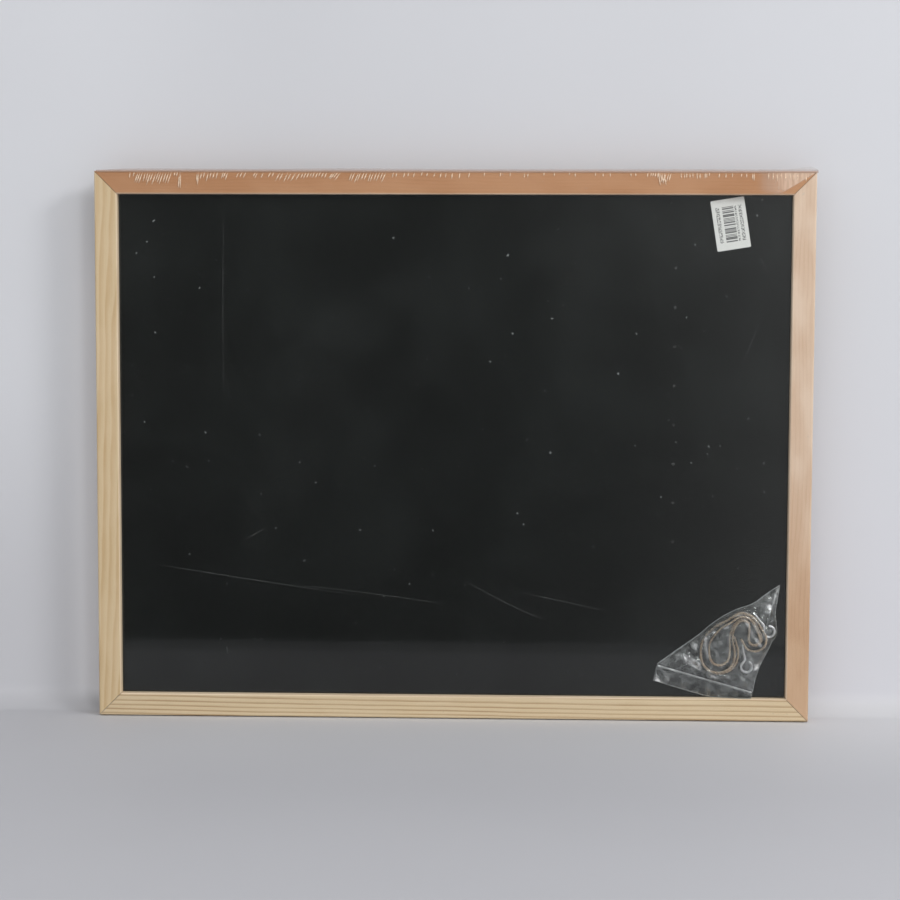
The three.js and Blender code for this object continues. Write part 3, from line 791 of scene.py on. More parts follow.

# Facets of the front film that carry a painted white highlight, and clouded ones: how strong, and the
# facet's corners
HIGHLIGHT_AND_MILK_FACETS = [
    (0.72, [(-77.2, 14.9), (-78.0, 9.6), (-73.4, 8.6), (-75.8, 11.2)]),
    (0.42, [(-76.0, 18.1), (-72.1, 16.2), (-69.7, 13.7), (-68.5, 9.6), (-70.9, 10.0), (-72.7, 14.3)]),
    (0.55, [(-61.5, 27.1), (-56.7, 25.0), (-51.2, 21.3), (-50.0, 18.9), (-51.2, 16.1), (-55.4, 18.8),
            (-60.2, 21.0)]),
    (0.62, [(-47.0, 15.8), (-43.4, 14.3), (-38.6, 12.2), (-41.5, 11.8), (-45.1, 13.0)]),
    (0.4, [(-56.2, 34.3), (-52.6, 32.5), (-53.2, 30.9), (-53.7, 28.4), (-55.2, 30.6)]),
    (0.35, [(-64.5, 26.8), (-63.0, 26.2), (-64.4, 21.8), (-65.9, 21.2)]),
    (0.5, [(-37.8, 42.2), (-34.2, 44.4), (-34.2, 43.0), (-37.2, 41.4)]),
    (0.6, [(-14.1, 57.5), (-8.2, 56.6), (-9.0, 52.3), (-11.1, 54.4)]),
    (0.5, [(-5.7, 66.8), (-4.5, 66.1), (-7.3, 56.3), (-8.5, 56.9)]),
    (0.72, [(-18.9, 20.2), (-16.4, 20.6), (-15.9, 18.0), (-18.3, 16.4)]),
    (0.45, [(-22.0, 26.6), (-20.2, 24.1), (-17.7, 19.8), (-18.9, 19.2), (-21.4, 22.9)]),
    (0.34, [(-26.0, 12.9), (-24.8, 11.7), (-24.2, 9.2), (-26.0, 9.8)]),
    (0.5, [(-34.4, 14.3), (-33.0, 12.9), (-33.8, 11.4), (-34.9, 12.8)]),
    (0.4, [(-20.2, 5.3), (-18.9, 4.8), (-19.3, 2.2), (-20.8, 3.1)]),
    (0.4, [(-25.9, 48.7), (-24.1, 48.8), (-19.9, 40.8), (-13.8, 32.2), (-15.2, 31.0), (-18.4, 34.6),
           (-22.6, 40.8)]),
    (0.42, [(-13.6, 41.8), (-10.9, 39.9), (-12.1, 38.4), (-13.9, 40.2)]),
    (0.5, [(-49.1, 36.8), (-47.3, 38.1), (-46.9, 31.3), (-45.9, 23.9), (-47.4, 24.5), (-49.0, 30.6)]),
    (0.1, [(-28.3, 45.6), (-25.9, 46.9), (-21.6, 35.8), (-23.9, 29.6), (-27.4, 25.3), (-28.7, 34.5)]),
    (0.13, [(-23.8, 28.4), (-11.9, 28.5), (-16.5, 17.3), (-18.7, 4.9), (-29.5, 7.9), (-27.9, 17.2)]),
    (0.08, [(-43.6, 34.4), (-33.0, 40.7), (-32.8, 25.2), (-38.7, 20.2), (-42.9, 25.1)]),
    (0.4, [(-11.9, 29.2), (-10.6, 29.4), (-15.4, 20.6), (-16.5, 16.7), (-17.7, 18.6)]),
    (0.12, [(-14.1, 57.5), (-5.9, 64.8), (-8.2, 56.3)]),
]
FACET_ROUNDS = 3
# How steeply a crease rises from its ends: it is full after a fifth of its length
CREASE_TAPER = 5


def highlight_and_milk_field(x, z):
    """How much painted highlight or cloud each point has. A few rounds of averaging soften the facets'
    sides.
    """
    highlight_and_milk = np.zeros_like(x)
    for strength, corners in HIGHLIGHT_AND_MILK_FACETS:
        highlight_and_milk = np.maximum(highlight_and_milk, inside_outline(x, z, corners) * strength)
    for _ in range(FACET_ROUNDS):
        around = highlight_and_milk[:-2, 1:-1] + highlight_and_milk[2:, 1:-1] + highlight_and_milk[1:-1, :-2] + highlight_and_milk[1:-1, 2:]
        highlight_and_milk[1:-1, 1:-1] = highlight_and_milk[1:-1, 1:-1] * 0.5 + around / 8
    return highlight_and_milk


def crease_field(x, z):
    """Height of sharp ridges along the creases, and how near each point is to one."""
    height = np.zeros_like(x)
    nearness = np.zeros_like(x)
    for (x0, z0), (x1, z1), width, rise in CREASES:
        length = math.hypot(x1 - x0, z1 - z0)
        along = ((x - x0) * (x1 - x0) + (z - z0) * (z1 - z0)) / length ** 2
        offset = np.abs((x - x0) * (z1 - z0) - (z - z0) * (x1 - x0)) / length
        taper = np.clip(np.minimum(along, 1 - along) * CREASE_TAPER, 0, 1)
        ridge = np.clip(1 - offset / width, 0, 1) * taper
        height = np.maximum(height, ridge * rise)
        nearness = np.maximum(nearness, ridge ** 2)
    return height, nearness


# %% Make a sheet of film from a grid of heights
def outline_points(outline, spacing):
    """Even points along a closed outline."""
    points = []
    for (x0, z0), (x1, z1) in zip(outline, outline[1:] + outline[:1]):
        count = max(1, round(math.hypot(x1 - x0, z1 - z0) / spacing))
        points += [(x0 + (x1 - x0) * i / count, z0 + (z1 - z0) * i / count) for i in range(count)]
    return points


def sample_grid(grid, x, z):
    """The height between the grid's points. The last row and column stay just out of reach."""
    i, j = (np.clip((value - corner) / GRID_STEP, 0, size - 1.001)
            for value, corner, size in zip((x, z), GRID_CORNER, GRID_SIZE))
    i0, j0 = i.astype(int), j.astype(int)
    u, v = i - i0, j - j0
    return ((grid[i0, j0] * (1 - u) + grid[i0 + 1, j0] * u) * (1 - v)
            + (grid[i0, j0 + 1] * (1 - u) + grid[i0 + 1, j0 + 1] * u) * v)


SHEET_SPACING = 0.55
SHEET_JITTER = 0.3
# Millimetres that the bag stays behind the shrink film
SHEET_GAP = 0.15


def film_sheet(name, heights, highlight_and_milk_share, seed):
    """A sheet inside the bag's outline. Where it would enter the bottom rail it turns up along it."""
    chance = random.Random(seed)
    border = outline_points(bag_edge, SHEET_SPACING)
    xs, zs = np.array(border).T
    inner = []
    for x in np.arange(xs.min(), xs.max(), SHEET_SPACING):
        for z in np.arange(zs.min(), zs.max(), SHEET_SPACING):
            inner.append((x + chance.uniform(-SHEET_JITTER, SHEET_JITTER) * SHEET_SPACING,
                          z + chance.uniform(-SHEET_JITTER, SHEET_JITTER) * SHEET_SPACING))
    grid = np.array(inner)
    kept = inside_outline(grid[:, 0], grid[:, 1], bag_edge)
    gap = np.min(np.linalg.norm(grid[:, None, :] - np.array(border)[None, ::2, :], axis=2), axis=1)
    flat = border + [tuple(point) for point in grid[kept & (gap > SHEET_SPACING * 0.5)]]
    ring = [list(range(len(border)))]
    result = delaunay_2d_cdt([Vector(point) for point in flat], [], ring, 1, 1e-5)
    spots = np.array([tuple(point) for point in result[0]])
    height = sample_grid(heights, spots[:, 0], spots[:, 1])
    past_rail = np.maximum(RAIL_GAP - spots[:, 1], 0)
    most = recess / MM - SHEET_GAP
    rows = [on_panel(x, max(z, RAIL_GAP), min(h + turned_up, most))
            for (x, z), h, turned_up in zip(spots, height, past_rail)]
    piece = mesh_object(name, rows, result[2])
    # The mark carries the painted highlights and the clouded film to the finish
    mark = piece.data.attributes.new("crease", "FLOAT", "POINT")
    mark.data.foreach_set("value", sample_grid(highlight_and_milk_share, spots[:, 0], spots[:, 1]).astype("f"))
    outward = sum((face.normal for face in piece.data.polygons), Vector())
    if outward.y > 0:
        piece.data.flip_normals()
    scene.collection.objects.link(piece)
    return piece


# %% [markdown]
# Clear film shows mostly by what it reflects. One Principled surface does this. Its alpha is the share
# that the film sends back: little where it lies flat, more at a glancing angle, in clouds and in fine
# scratches, and most where creases or facets are clouded or carry a painted white highlight. Alpha dims
# the shine as well, so the clear film is partly metallic and the clouded and painted places aren't.

# %% The finish of clear film
def film_finish(name, clear, haze, roughness, crumple_scale, crumple_depth, metallic=0.55,
                tone=srgb(205, 209, 208)):
    """Clear is the least share sent back. Haze is the share added by clouds, and by fine scratches."""
    tree, place = new_finish(name)
    crease = tree.mark("crease")
    glance = tree.node("ShaderNodeFresnel", {"IOR": 1.3})
    wrinkle = tree.noise(place, crumple_scale, 3.0, 0.5, 0.4)
    folds = abs(wrinkle - 0.5) * 2
    scratch = 1 - folds.step(0.0, 0.05)
    cloud = tree.noise(place, crumple_scale * 0.9, 3.0, 0.6).step(0.4, 0.72)
    share = glance * 1.6 + cloud * haze + scratch * haze * 1.5 + crease * (cloud * 0.8 + 0.45) + clear
    # Where that mark is strong the film is painted white: clouded film and painted highlight
    color = tree.mix(crease.step(0.1, 0.8), tone, srgb(250, 250, 250))
    return finish_surface(tree, Base_Color=color, Metallic=metallic - crease * metallic * 0.9,
                          Roughness=cloud * 0.1 + roughness, Alpha=share.smallest(0.92),
                          Normal=tree.bump(wrinkle, crumple_depth, 0.8))


# %% Heights of the three sheets
# Millimetres from the bag's edge: where crumples are at their full height, and the edge's whitened line with
# its painted highlight
LOOSE_WIDTH = 5
EDGE_WIDTH = 0.9
# Shares of whitened film and painted highlight along the bag's edge and along the creases
EDGE_MILK_AND_HIGHLIGHT = 0.3
CREASE_MILK_AND_HIGHLIGHT = 0.22
# Each sheet: its height at rest, and the share and the seed of its crumples
FRONT_REST, FRONT_CRUMPLES, FRONT_SEED = 0.55, 0.8, 11
MIDDLE_REST, MIDDLE_CRUMPLES, MIDDLE_SEED = 0.4, 0.7, 23
BACK_REST, BACK_CRUMPLES, BACK_SEED = 0.06, 0.12, 37
FRONT_SLACK = 0.0025
FRONT_ROUNDS = 500
MIDDLE_ROUNDS = 60
MIDDLE_SHARE = 0.35
OVER_KIT = 0.05
FRONT_GAP = 0.2
LAYER_GAP = 0.1

x, z = grid_points()
crease_height, crease_nearness = crease_field(x, z)
edge_gap = np.full(GRID_SIZE, 20.0)
for px, pz in outline_points(bag_edge, 1.0):
    edge_gap = np.minimum(edge_gap, np.hypot(x - px, z - pz))
loose = np.clip(edge_gap / LOOSE_WIDTH, 0, 1)
edge_line = np.clip(1 - edge_gap / EDGE_WIDTH, 0, 1) * EDGE_MILK_AND_HIGHLIGHT
# Painted white highlights and clouded film of the facets and the creases, as one mark
highlight_and_milk = np.maximum(highlight_and_milk_field(x, z), crease_nearness * CREASE_MILK_AND_HIGHLIGHT)


def crumples(seed):
    return np.abs(folded_waves(x, z, seed))


front_skin = drawn_skin(FRONT_REST, FRONT_SLACK, FRONT_ROUNDS)
front_height = front_skin + loose * (crumples(FRONT_SEED) * FRONT_CRUMPLES + crease_height)
front_height = np.minimum(np.maximum(front_height, kit_floor + OVER_KIT), recess / MM - FRONT_GAP)
middle_skin = drawn_skin(MIDDLE_REST, 0.0, MIDDLE_ROUNDS) * MIDDLE_SHARE
middle_height = middle_skin + loose * crumples(MIDDLE_SEED) * MIDDLE_CRUMPLES
middle_height = np.minimum(middle_height, front_height - LAYER_GAP)
back_height = BACK_REST + loose * crumples(BACK_SEED) * BACK_CRUMPLES
print(f"front film: up to {front_height.max():.2f} mm from the panel")

# %% Make the three sheets of the bag
bag_film = film_finish("bag_film", clear=0.012, haze=0.11, roughness=0.07, crumple_scale=260.0,
                       crumple_depth=0.0006)
for name, heights, highlight_and_milk_share, seed in (
        ("bag_front_film", front_height, np.maximum(highlight_and_milk, edge_line), 1),
        ("bag_middle_film", middle_height, edge_line * 0.5, 2),
        ("bag_back_film", back_height, edge_line * 0.3, 3)):
    sheet = film_sheet(name, heights, highlight_and_milk_share, seed)
    carry(sheet, bag_film)
    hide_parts("zip_bag")
    print(name, len(sheet.data.polygons), "faces")

# %% [markdown]
# The press closure is a rib along the bag's mouth and a finer line beside it, its groove. The rib is a
# round bar of solid film and the brightest line of the bag: partly its own whitish plastic, partly a
# painted highlight. The wire tree sweeps both.

# %% Make the press closure
# The rib's near-white tone is partly whitish plastic and partly a painted highlight
closure_film = film_finish("closure_film", clear=0.8, haze=0.2, roughness=0.25, crumple_scale=500.0,
                           crumple_depth=0.00005, metallic=0.05, tone=srgb(244, 246, 246))
edge_film = film_finish("edge_film", clear=0.8, haze=0.1, roughness=0.25, crumple_scale=800.0,
                        crumple_depth=0.00005)
CLOSURE_END = 0.8
CLOSURE_STEPS = 60
CLOSURE_SWAY = 0.08

# Each line: its distance below the mouth, height and radius in millimetres, finish and CAD node
for name, down, height, radius, film, node in (
        ("closure_rib", 0.85, 0.8, 0.34, closure_film, "zip_rib_track"),
        ("closure_groove", 1.5, 0.95, 0.14, edge_film, "zip_groove_track")):
    run = [on_panel(*header_point(step, down), height + CLOSURE_SWAY * math.sin(step / 4))
           for step in np.linspace(CLOSURE_END, closure_length - CLOSURE_END, CLOSURE_STEPS)]
    rib = sweep(name, even_run(run, radius), film)
    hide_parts(node)
print("press closure made of a rib and a groove")

# %% [markdown]
# The edges of the bag are welded or folded, so they are thicker than the film and catch a thin line of
# light. The same tree sweeps a very thin run along the fold, the side and the mouth.

# %% Draw the bag's edges
EDGE_LIFT = 0.02
EDGE_STEPS = 8


def edge_run(points):
    """A run over the front film, along points that are given in the recess."""
    route = smooth_route([np.array(point, float) for point in points], EDGE_STEPS)
    rows = []
    for px, pz in route:
        height = float(sample_grid(front_height, np.array(px), np.array(pz)))
        turned_up = max(RAIL_GAP - pz, 0)
        rows.append(on_panel(px, max(pz, RAIL_GAP),
                             min(height + EDGE_LIFT + turned_up, recess / MM - FRONT_GAP)))
    return rows


# Each edge: its points in the recess and its radius
BAG_EDGES = {
    "bag_mouth_edge": (header_edge[1:4], 0.07),
    "bag_side_seal": ([CLOSURE_RIGHT, *BAG_SIDE, BAG_TIP], 0.09),
    "bag_inner_fold": ([(-11.4, 44.6), (-9.6, 52.0), (-8.2, 56.5), (-4.6, 66.8)], 0.08),
    "bag_folded_edge": ([BAG_TIP, *BAG_FOLD, (-66.0, 27.9), CLOSURE_LEFT], 0.12),
}
for name, (points, radius) in BAG_EDGES.items():
    sweep(name, even_run(edge_run(points), radius), edge_film)
print("bag edges:", ", ".join(BAG_EDGES))

# %% [markdown]
# ## Wood
#
# The rails keep their CAD shape. What is missing is the wood: softwood with growth rings that run along
# the rail. A ring is a place where the distance from the middle of the tree has the same value, so the
# finish measures that distance, adds a slow wander and colours each ring from pale early wood to a
# darker line of late wood. Fine fibres and a soft change of tone along the board go over it. A painted
# highlight makes the edges round the opening paler, and a thin dark line marks each mitre.

# %% The finish of planed softwood
DARK_FIBRE = srgb(120, 86, 56)
PORE = srgb(110, 74, 46)
# Painted highlight: the pale colour of the arris round the opening
EDGE_HIGHLIGHT_COLOR = srgb(240, 220, 194)
MITRE_LINE = srgb(112, 82, 56)
# In metres: how wide the painted edge highlights and the mitre lines are, and the height where the low tone
# ends
EDGE_HIGHLIGHT_WIDTH = (0.0003, 0.0009)
MITRE_WIDTH = (0.0001, 0.0005)
LOW_TONE_END = (0.04, 0.17)
opening_middle = Vector(((inner_left + inner_right) / 2, 0, (inner_bottom + inner_top) / 2))


def softwood_finish(name, early, late, pale, upright=False, pith=(0.05, 0.05), ring_width=0.0024,
                    sharpness=0.5, slant=0.006, wander=0.006, line_strength=0.5, blotch=0.15, seed=1,
                    low_tone=None):
    """Pith is the tree's middle in metres. Low tone is a colour that the wood takes near the table."""
    tree, place = new_finish(name)
    turn = math.pi / 2 if upright else 0.0
    grain_place = tree.node("ShaderNodeMapping", {"Vector": place, "Rotation": (0.0, turn, 0.0),
                                                  "Location": (seed * 1.37, 0.0, 0.0)})
    along, depth, across = tree.split(grain_place)

    def stretched(lengthwise, crosswise, detail, roughness=0.5):
        """Noise with one scale along the grain and another across it."""
        spot = tree.join(along * lengthwise, depth * crosswise, across * crosswise)
        return tree.noise(spot, 1.0, detail, roughness)

    slow = stretched(9.0, 40.0, 2.0)
    quick = stretched(45.0, 120.0, 2.0)
    side = across + along * slant + (slow - 0.5) * wander + (quick - 0.5) * wander * 0.12
    ring = ((side - pith[0]) ** 2.0 + (depth - pith[1]) ** 2.0) ** 0.5 / ring_width
    phase = ring.fract()
    line = phase.step(sharpness, 0.88) * (1 - phase.step(0.9, 1.0))
    line = line * (stretched(14.0, 300.0, 2.0) * 1.1 + 0.35)
    fibres = stretched(160.0, 5200.0, 4.0, 0.65)
    streaks = stretched(26.0, 1500.0, 3.0, 0.6)
    tone = stretched(24.0, 60.0, 3.0)
    wood = tree.mix(line * line_strength, early, late)
    wood = tree.mix(streaks.step(0.35, 0.75) * 0.16, wood, late)
    wood = tree.mix(fibres.step(0.45, 0.8) * 0.1, wood, DARK_FIBRE)
    wood = tree.mix(tone.step(0.38, 0.66) * blotch, wood, pale)
    x, _, z = tree.split(place)
    if low_tone:
        low = 1 - z.step(*LOW_TONE_END)
        wood = tree.mix(low * (tone * 0.6 + 0.7), wood, low_tone, "MULTIPLY")
    beside = abs(x - opening_middle.x) - (inner_right - inner_left) / 2
    past = abs(z - opening_middle.z) - (inner_top - inner_bottom) / 2
    # Painted highlight: the inner arris round the opening is painted paler
    edge_highlight = 1 - beside.largest(past).step(*EDGE_HIGHLIGHT_WIDTH)
    wood = tree.mix(edge_highlight * (tone * 0.7 + 0.15), wood, EDGE_HIGHLIGHT_COLOR)
    mitre = (1 - abs(beside - past).step(*MITRE_WIDTH)) * beside.smallest(past).step(0.0, 0.0005)
    wood = tree.mix(mitre * 0.4, wood, MITRE_LINE)
    wood = tree.mix(stretched(300.0, 9000.0, 2.0).step(0.68, 0.76) * 0.25, wood, PORE)
    height = fibres * 0.5 - line * 0.5 + streaks * 0.3
    return finish_surface(tree, Base_Color=wood, Roughness=fibres * 0.14 + 0.46,
                          Normal=tree.bump(height, 0.00006, 0.5), Specular_IOR_Level=0.4)


# %% Give each rail its own board of wood
RAIL_FINISHES = {
    "bottom_rail": softwood_finish(
        "pine_bottom", srgb(218, 197, 161), srgb(168, 134, 96), srgb(226, 209, 178), pith=(0.034, 0.012),
        ring_width=0.00185, sharpness=0.45, slant=0.008, wander=0.0022, line_strength=0.8, seed=1),
    "left_stile": softwood_finish(
        "pine_left", srgb(214, 191, 152), srgb(188, 149, 100), srgb(224, 201, 166), upright=True,
        pith=(0.168, 0.016), ring_width=0.0042, sharpness=0.15, slant=0.03, wander=0.009,
        line_strength=0.55, blotch=0.3, seed=2),
    "top_rail": softwood_finish(
        "pinkwood_top", srgb(180, 129, 88), srgb(156, 105, 66), srgb(200, 154, 116), pith=(0.05, 0.09),
        ring_width=0.0019, line_strength=0.25, blotch=0.3, seed=3),
    "right_stile": softwood_finish(
        "pinkwood_right", srgb(210, 182, 156), srgb(186, 148, 118), srgb(226, 204, 182), upright=True,
        wander=0.009, line_strength=0.28, blotch=0.6, seed=4, low_tone=srgb(234, 218, 200)),
}
for name, finish in RAIL_FINISHES.items():
    dress(name, finish)
print("rails finished:", ", ".join(RAIL_FINISHES))

# %% [markdown]
# ## Panel
#
# The writing sheet is a thin black laminate, smooth enough to mirror the edge of the table as a lighter
# band. Its black isn't even: there are faint cloudy smears and a little dust. The board behind it is
# brown hardboard, whose back shows the weave of the screen that it was pressed on.

# %% Finish the writing sheet and its core
WEAVE_PITCH = 1.6 * MM


def laminate_finish():
    tree, place = new_finish("black_laminate")
    smear = tree.noise(place, 14.0, 4.0, 0.6, 0.4)
    grain = tree.noise(place, 3200.0, 2.0)
    dust = tree.noise(place, 700.0, 1.0).step(0.77, 0.82)
    black = tree.mix(smear.step(0.35, 0.8), srgb(16, 17, 16), srgb(27, 29, 28))
    color = tree.mix(dust * 0.25, black, srgb(120, 124, 122))
    return finish_surface(tree, Base_Color=color, Roughness=smear * 0.06 + 0.03,
                          Normal=tree.bump(grain, 0.000004, 0.25))


def hardboard_finish():
    tree, place = new_finish("hardboard_brown")
    x, _, z = tree.split(place)
    turns = 2 * math.pi / WEAVE_PITCH
    weave = (x * turns).sin() * (z * turns).sin()
    flecks = tree.noise(place, 900.0, 4.0, 0.7)
    cloud = tree.noise(place, 30.0, 3.0)
    brown = tree.mix(flecks.step(0.35, 0.7), srgb(92, 62, 40), srgb(142, 104, 70))
    color = tree.mix(cloud.step(0.35, 0.75) * 0.35, brown, srgb(70, 46, 30))
    return finish_surface(tree, Base_Color=color, Roughness=flecks * 0.15 + 0.72,
                          Normal=tree.bump(weave * 0.5 + flecks, 0.00012, 0.6))


dress("writing_sheet", laminate_finish())
dress("panel_core", hardboard_finish())
nail_steel = metal_finish("nail_steel", srgb(150, 152, 156), srgb(112, 108, 104))
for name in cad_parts:
    if name.startswith("v_nail"):
        dress(name, nail_steel)
print("panel and nails finished")

# %% [markdown]
# ## Item label
#
# The label is matt white paper with plain bars and three rows of marks that say nothing, all made from
# noise. The pattern needs the label's own directions, so a Mapping node brings the place of a point back
# to the label's middle and turns it by the label's tilt.

# %% Finish the label
LABEL_TILT = math.radians(-9)
# The print in millimetres from the label's middle: its half length, the bars and the rows of marks
PRINT_LENGTH = 10.5
BARS = (-3.9, 2.9)
MARK_ROWS = ((-7.7, -5.5), (5.7, 7.7), (3.4, 4.6))
SOFT_EDGE = 0.04
BAR_PITCH = 0.75
MARK_WIDTH = 0.9
MARK_HEIGHT = 0.55
label_low, label_high = (Vector(corner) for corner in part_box("item_label"))
label_middle = (label_low + label_high) / 2


def label_finish():
    tree, place = new_finish("label_paper")
    own = tree.node("ShaderNodeMapping", {"Vector": place, "Location": tuple(label_middle),
                                          "Rotation": (0.0, LABEL_TILT, 0.0)}, vector_type="TEXTURE")
    across, _, up = tree.split(own)

    def band(value, low, high):
        rise = value.step((low - SOFT_EDGE) * MM, (low + SOFT_EDGE) * MM)
        fall = value.step((high - SOFT_EDGE) * MM, (high + SOFT_EDGE) * MM)
        return rise * (1 - fall)

    bars = tree.noise(tree.join(0.0, up / (BAR_PITCH * MM), 0.0), 1.0, 0.0)
    marks = tree.noise(tree.join(across / (MARK_WIDTH * MM), up / (MARK_HEIGHT * MM), 0.0), 1.0, 1.0)
    length = band(up, -PRINT_LENGTH, PRINT_LENGTH)
    bar_ink = bars.step(0.47, 0.52) * band(across, *BARS) * length
    first, second, third = (band(across, *row) for row in MARK_ROWS)
    line_ink = (first + second + third) * marks.step(0.47, 0.53) * length
    fibres = tree.noise(place, 2400.0, 3.0, 0.6)
    paper = tree.mix(fibres, srgb(206, 208, 203), srgb(222, 223, 218))
    ink = (bar_ink * 0.9 + line_ink * 0.85) * (fibres * 0.3 + 0.8)
    color = tree.mix(ink.smallest(0.95), paper, srgb(26, 27, 29))
    return finish_surface(tree, Base_Color=color, Roughness=0.6, Normal=tree.bump(fibres, 0.00002, 0.4))


dress("item_label", label_finish())
print(f"label centred at {tuple(round(value / MM, 1) for value in label_middle)} mm")

# %% [markdown]
# ## Shrink film
#
# The whole board is wrapped in film that was shrunk on with hot air. It is drawn flat across the recess,
# turns round the frame's outer edges and lies over the back. Its CAD solid has a thickness that the real
# film hasn't, so one closed skin with round edges takes its place, just where that solid lies.

# %% Wrap the board
FILM_ROUND = 1.2 * MM
ROUND_STEPS = 4
wrap_low, wrap_high = (Vector(corner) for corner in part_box("shrink_film"))


def wrap_skin():
    """A box with round edges. Those that it stands on stay sharp."""
    builder = bmesh.new()
    bmesh.ops.create_cube(builder, size=1)
    middle = (wrap_low + wrap_high) / 2
    for corner in builder.verts:
        corner.co = Vector(a * b for a, b in zip(corner.co, wrap_high - wrap_low)) + middle
    edges = [edge for edge in builder.edges if max(v.co.z for v in edge.verts) > wrap_low.z + FILM_ROUND]
    bmesh.ops.bevel(builder, geom=edges, offset=FILM_ROUND, segments=ROUND_STEPS, profile=0.5,
                    affect="EDGES")
    mesh = bpy.data.meshes.new("shrink_film")
    builder.to_mesh(mesh)
    builder.free()
    mesh.shade_smooth()
    return mesh


wrap = bpy.data.objects.new("shrink_film_skin", wrap_skin())
scene.collection.objects.link(wrap)
print(f"shrink film: {len(wrap.data.polygons)} faces")

# %% [markdown]
# The film's own finish is almost nothing: a faint gleam, some haze and a few specks. At the upper right
# corner, where it lies double, a pale patch is painted on it as a highlight: the film's reflection of the
# lamp.
# A mask made from straight lines gives that patch: it begins softly on the top rail and ends above the
# mitre, where a wedge of bare wood shows.

# %% The finish of shrink film
# The painted corner highlight: where it begins and where it is full, in metres, the slope of its edge and
# its least alpha
CORNER_HIGHLIGHT_START = 0.17
CORNER_HIGHLIGHT_FULL = 0.198
CORNER_HIGHLIGHT_SLOPE = 0.6
CORNER_HIGHLIGHT_SHARE = 0.42
# In metres: its soft edges over the mitre and above the opening, and how deep it goes behind the front
CORNER_HIGHLIGHT_EDGE = (-0.0004, 0.0006)
CORNER_HIGHLIGHT_BOTTOM = (-0.001, 0.004)
CORNER_HIGHLIGHT_DEPTH = (0.0005, 0.001)
# Alpha of the clear film where it is flat, at scratches and at specks
FLAT_SHARE = 0.012
SCRATCH_SHARE = 0.03
SPECK_SHARE = 0.2
SPECKS = (0.745, 0.8)


def shrink_finish():
    tree, place = new_finish("shrink_film")
    x, y, z = tree.split(place)
    haze = tree.noise(place, 9.0, 4.0, 0.6)
    creases = tree.noise(tree.join(x * 5.0 + z * 1.2, 0.0, z * 26.0), 1.0, 3.0, 0.5, 0.5)
    hairline = 1 - (abs(creases - 0.5) * 2).step(0.0, 0.012)
    rare = tree.noise(place, 6.0, 1.0).step(0.6, 0.72)
    # Painted highlight: a pale patch, the film's reflection of the lamp, over the top rail's right end
    above_mitre = z - frame_high.z - (x - frame_high.x) * CORNER_HIGHLIGHT_SLOPE
    folds = tree.noise(tree.join(x * 520.0, 0.0, z * 34.0), 1.0, 2.0).step(0.3, 0.7)
    front = 1 - y.step(*(wrap_low.y + end for end in CORNER_HIGHLIGHT_DEPTH))
    fade = x.step(CORNER_HIGHLIGHT_START, CORNER_HIGHLIGHT_FULL)
    corner_highlight = fade * fade * above_mitre.step(*CORNER_HIGHLIGHT_EDGE)
    bottom = z.step(*(inner_top + end for end in CORNER_HIGHLIGHT_BOTTOM))
    corner_highlight = corner_highlight * bottom * front * (folds * 0.24 + CORNER_HIGHLIGHT_SHARE)
    clouds = haze.step(0.45, 0.8) * 0.012
    specks = tree.noise(place, 300.0, 1.0).step(*SPECKS) * SPECK_SHARE
    alpha = (clouds + hairline * rare * SCRATCH_SHARE + specks + FLAT_SHARE).largest(corner_highlight)
    # The patch of painted highlight takes a pale warm colour
    color = tree.mix(corner_highlight.step(0.05, 0.3), srgb(230, 238, 235), srgb(240, 212, 188))
    return finish_surface(tree, Base_Color=color, Roughness=0.08, IOR=1.5, Alpha=alpha,
                          Normal=tree.bump(creases, 0.0004, 0.15))


carry(wrap, shrink_finish())
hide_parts("shrink_film")
print("shrink film finished")

# %% [markdown]
# Along the top rail the film didn't shrink evenly. It stands in short fine wrinkles that come in bunches,
# each bunch with its own lean, and each one catches a pale line of light. One leaf of film is repeated
# by Geometry Nodes, with a lean and a length from points that are set by chance with a fixed seed.

# %% Where the wrinkles are
# Each bunch: start and end in millimetres from the board's middle, count, length, lean in degrees
WRINKLE_BUNCHES = [
    (-193, -189, 2, 3.2, -8), (-188, -166.5, 14, 6.6, -18), (-165.5, -163.5, 2, 2.6, -10),
    (-162.8, -161.4, 2, 9.2, -3), (-152.5, -150.5, 2, 6.4, -6), (-150, -139, 6, 4.4, -12),
    (-137, -133, 3, 4.0, -16),
    (-130, -104, 8, 3.4, -24), (-104, -90, 6, 5.6, -26), (-90, -74, 9, 3.6, -22),
    (-72, -66, 4, 4.8, -35), (-61, -39, 12, 5.6, -20), (-38, -10, 8, 2.8, -15),
    (-10, 10, 5, 3.4, -8), (16, 62, 7, 2.4, -4), (64, 112, 7, 2.2, 4),
    (114, 122, 6, 3.0, -6), (120, 124, 4, 6.8, 12), (124, 129, 3, 6.4, -12),
    (132, 150, 9, 3.4, 4), (150, 176, 6, 2.6, 0), (175, 177, 2, 4.2, 0), (184, 208, 10, 4.5, 2),
]
# Millimetres that a wrinkle starts below the frame's top, and shares of a bunch's even spacing
WRINKLE_DROP = (0.3, 0.9)
SHORT_WRINKLE = 3.5
SHORT_STRAY = 0.45
LONG_STRAY = 0.12
LEAN_SPREAD = 2
REACH_SHARE = (0.78, 1.18)
WRINKLE_WIDTH = 0.78 * MM
WRINKLE_RISE = 0.2 * MM


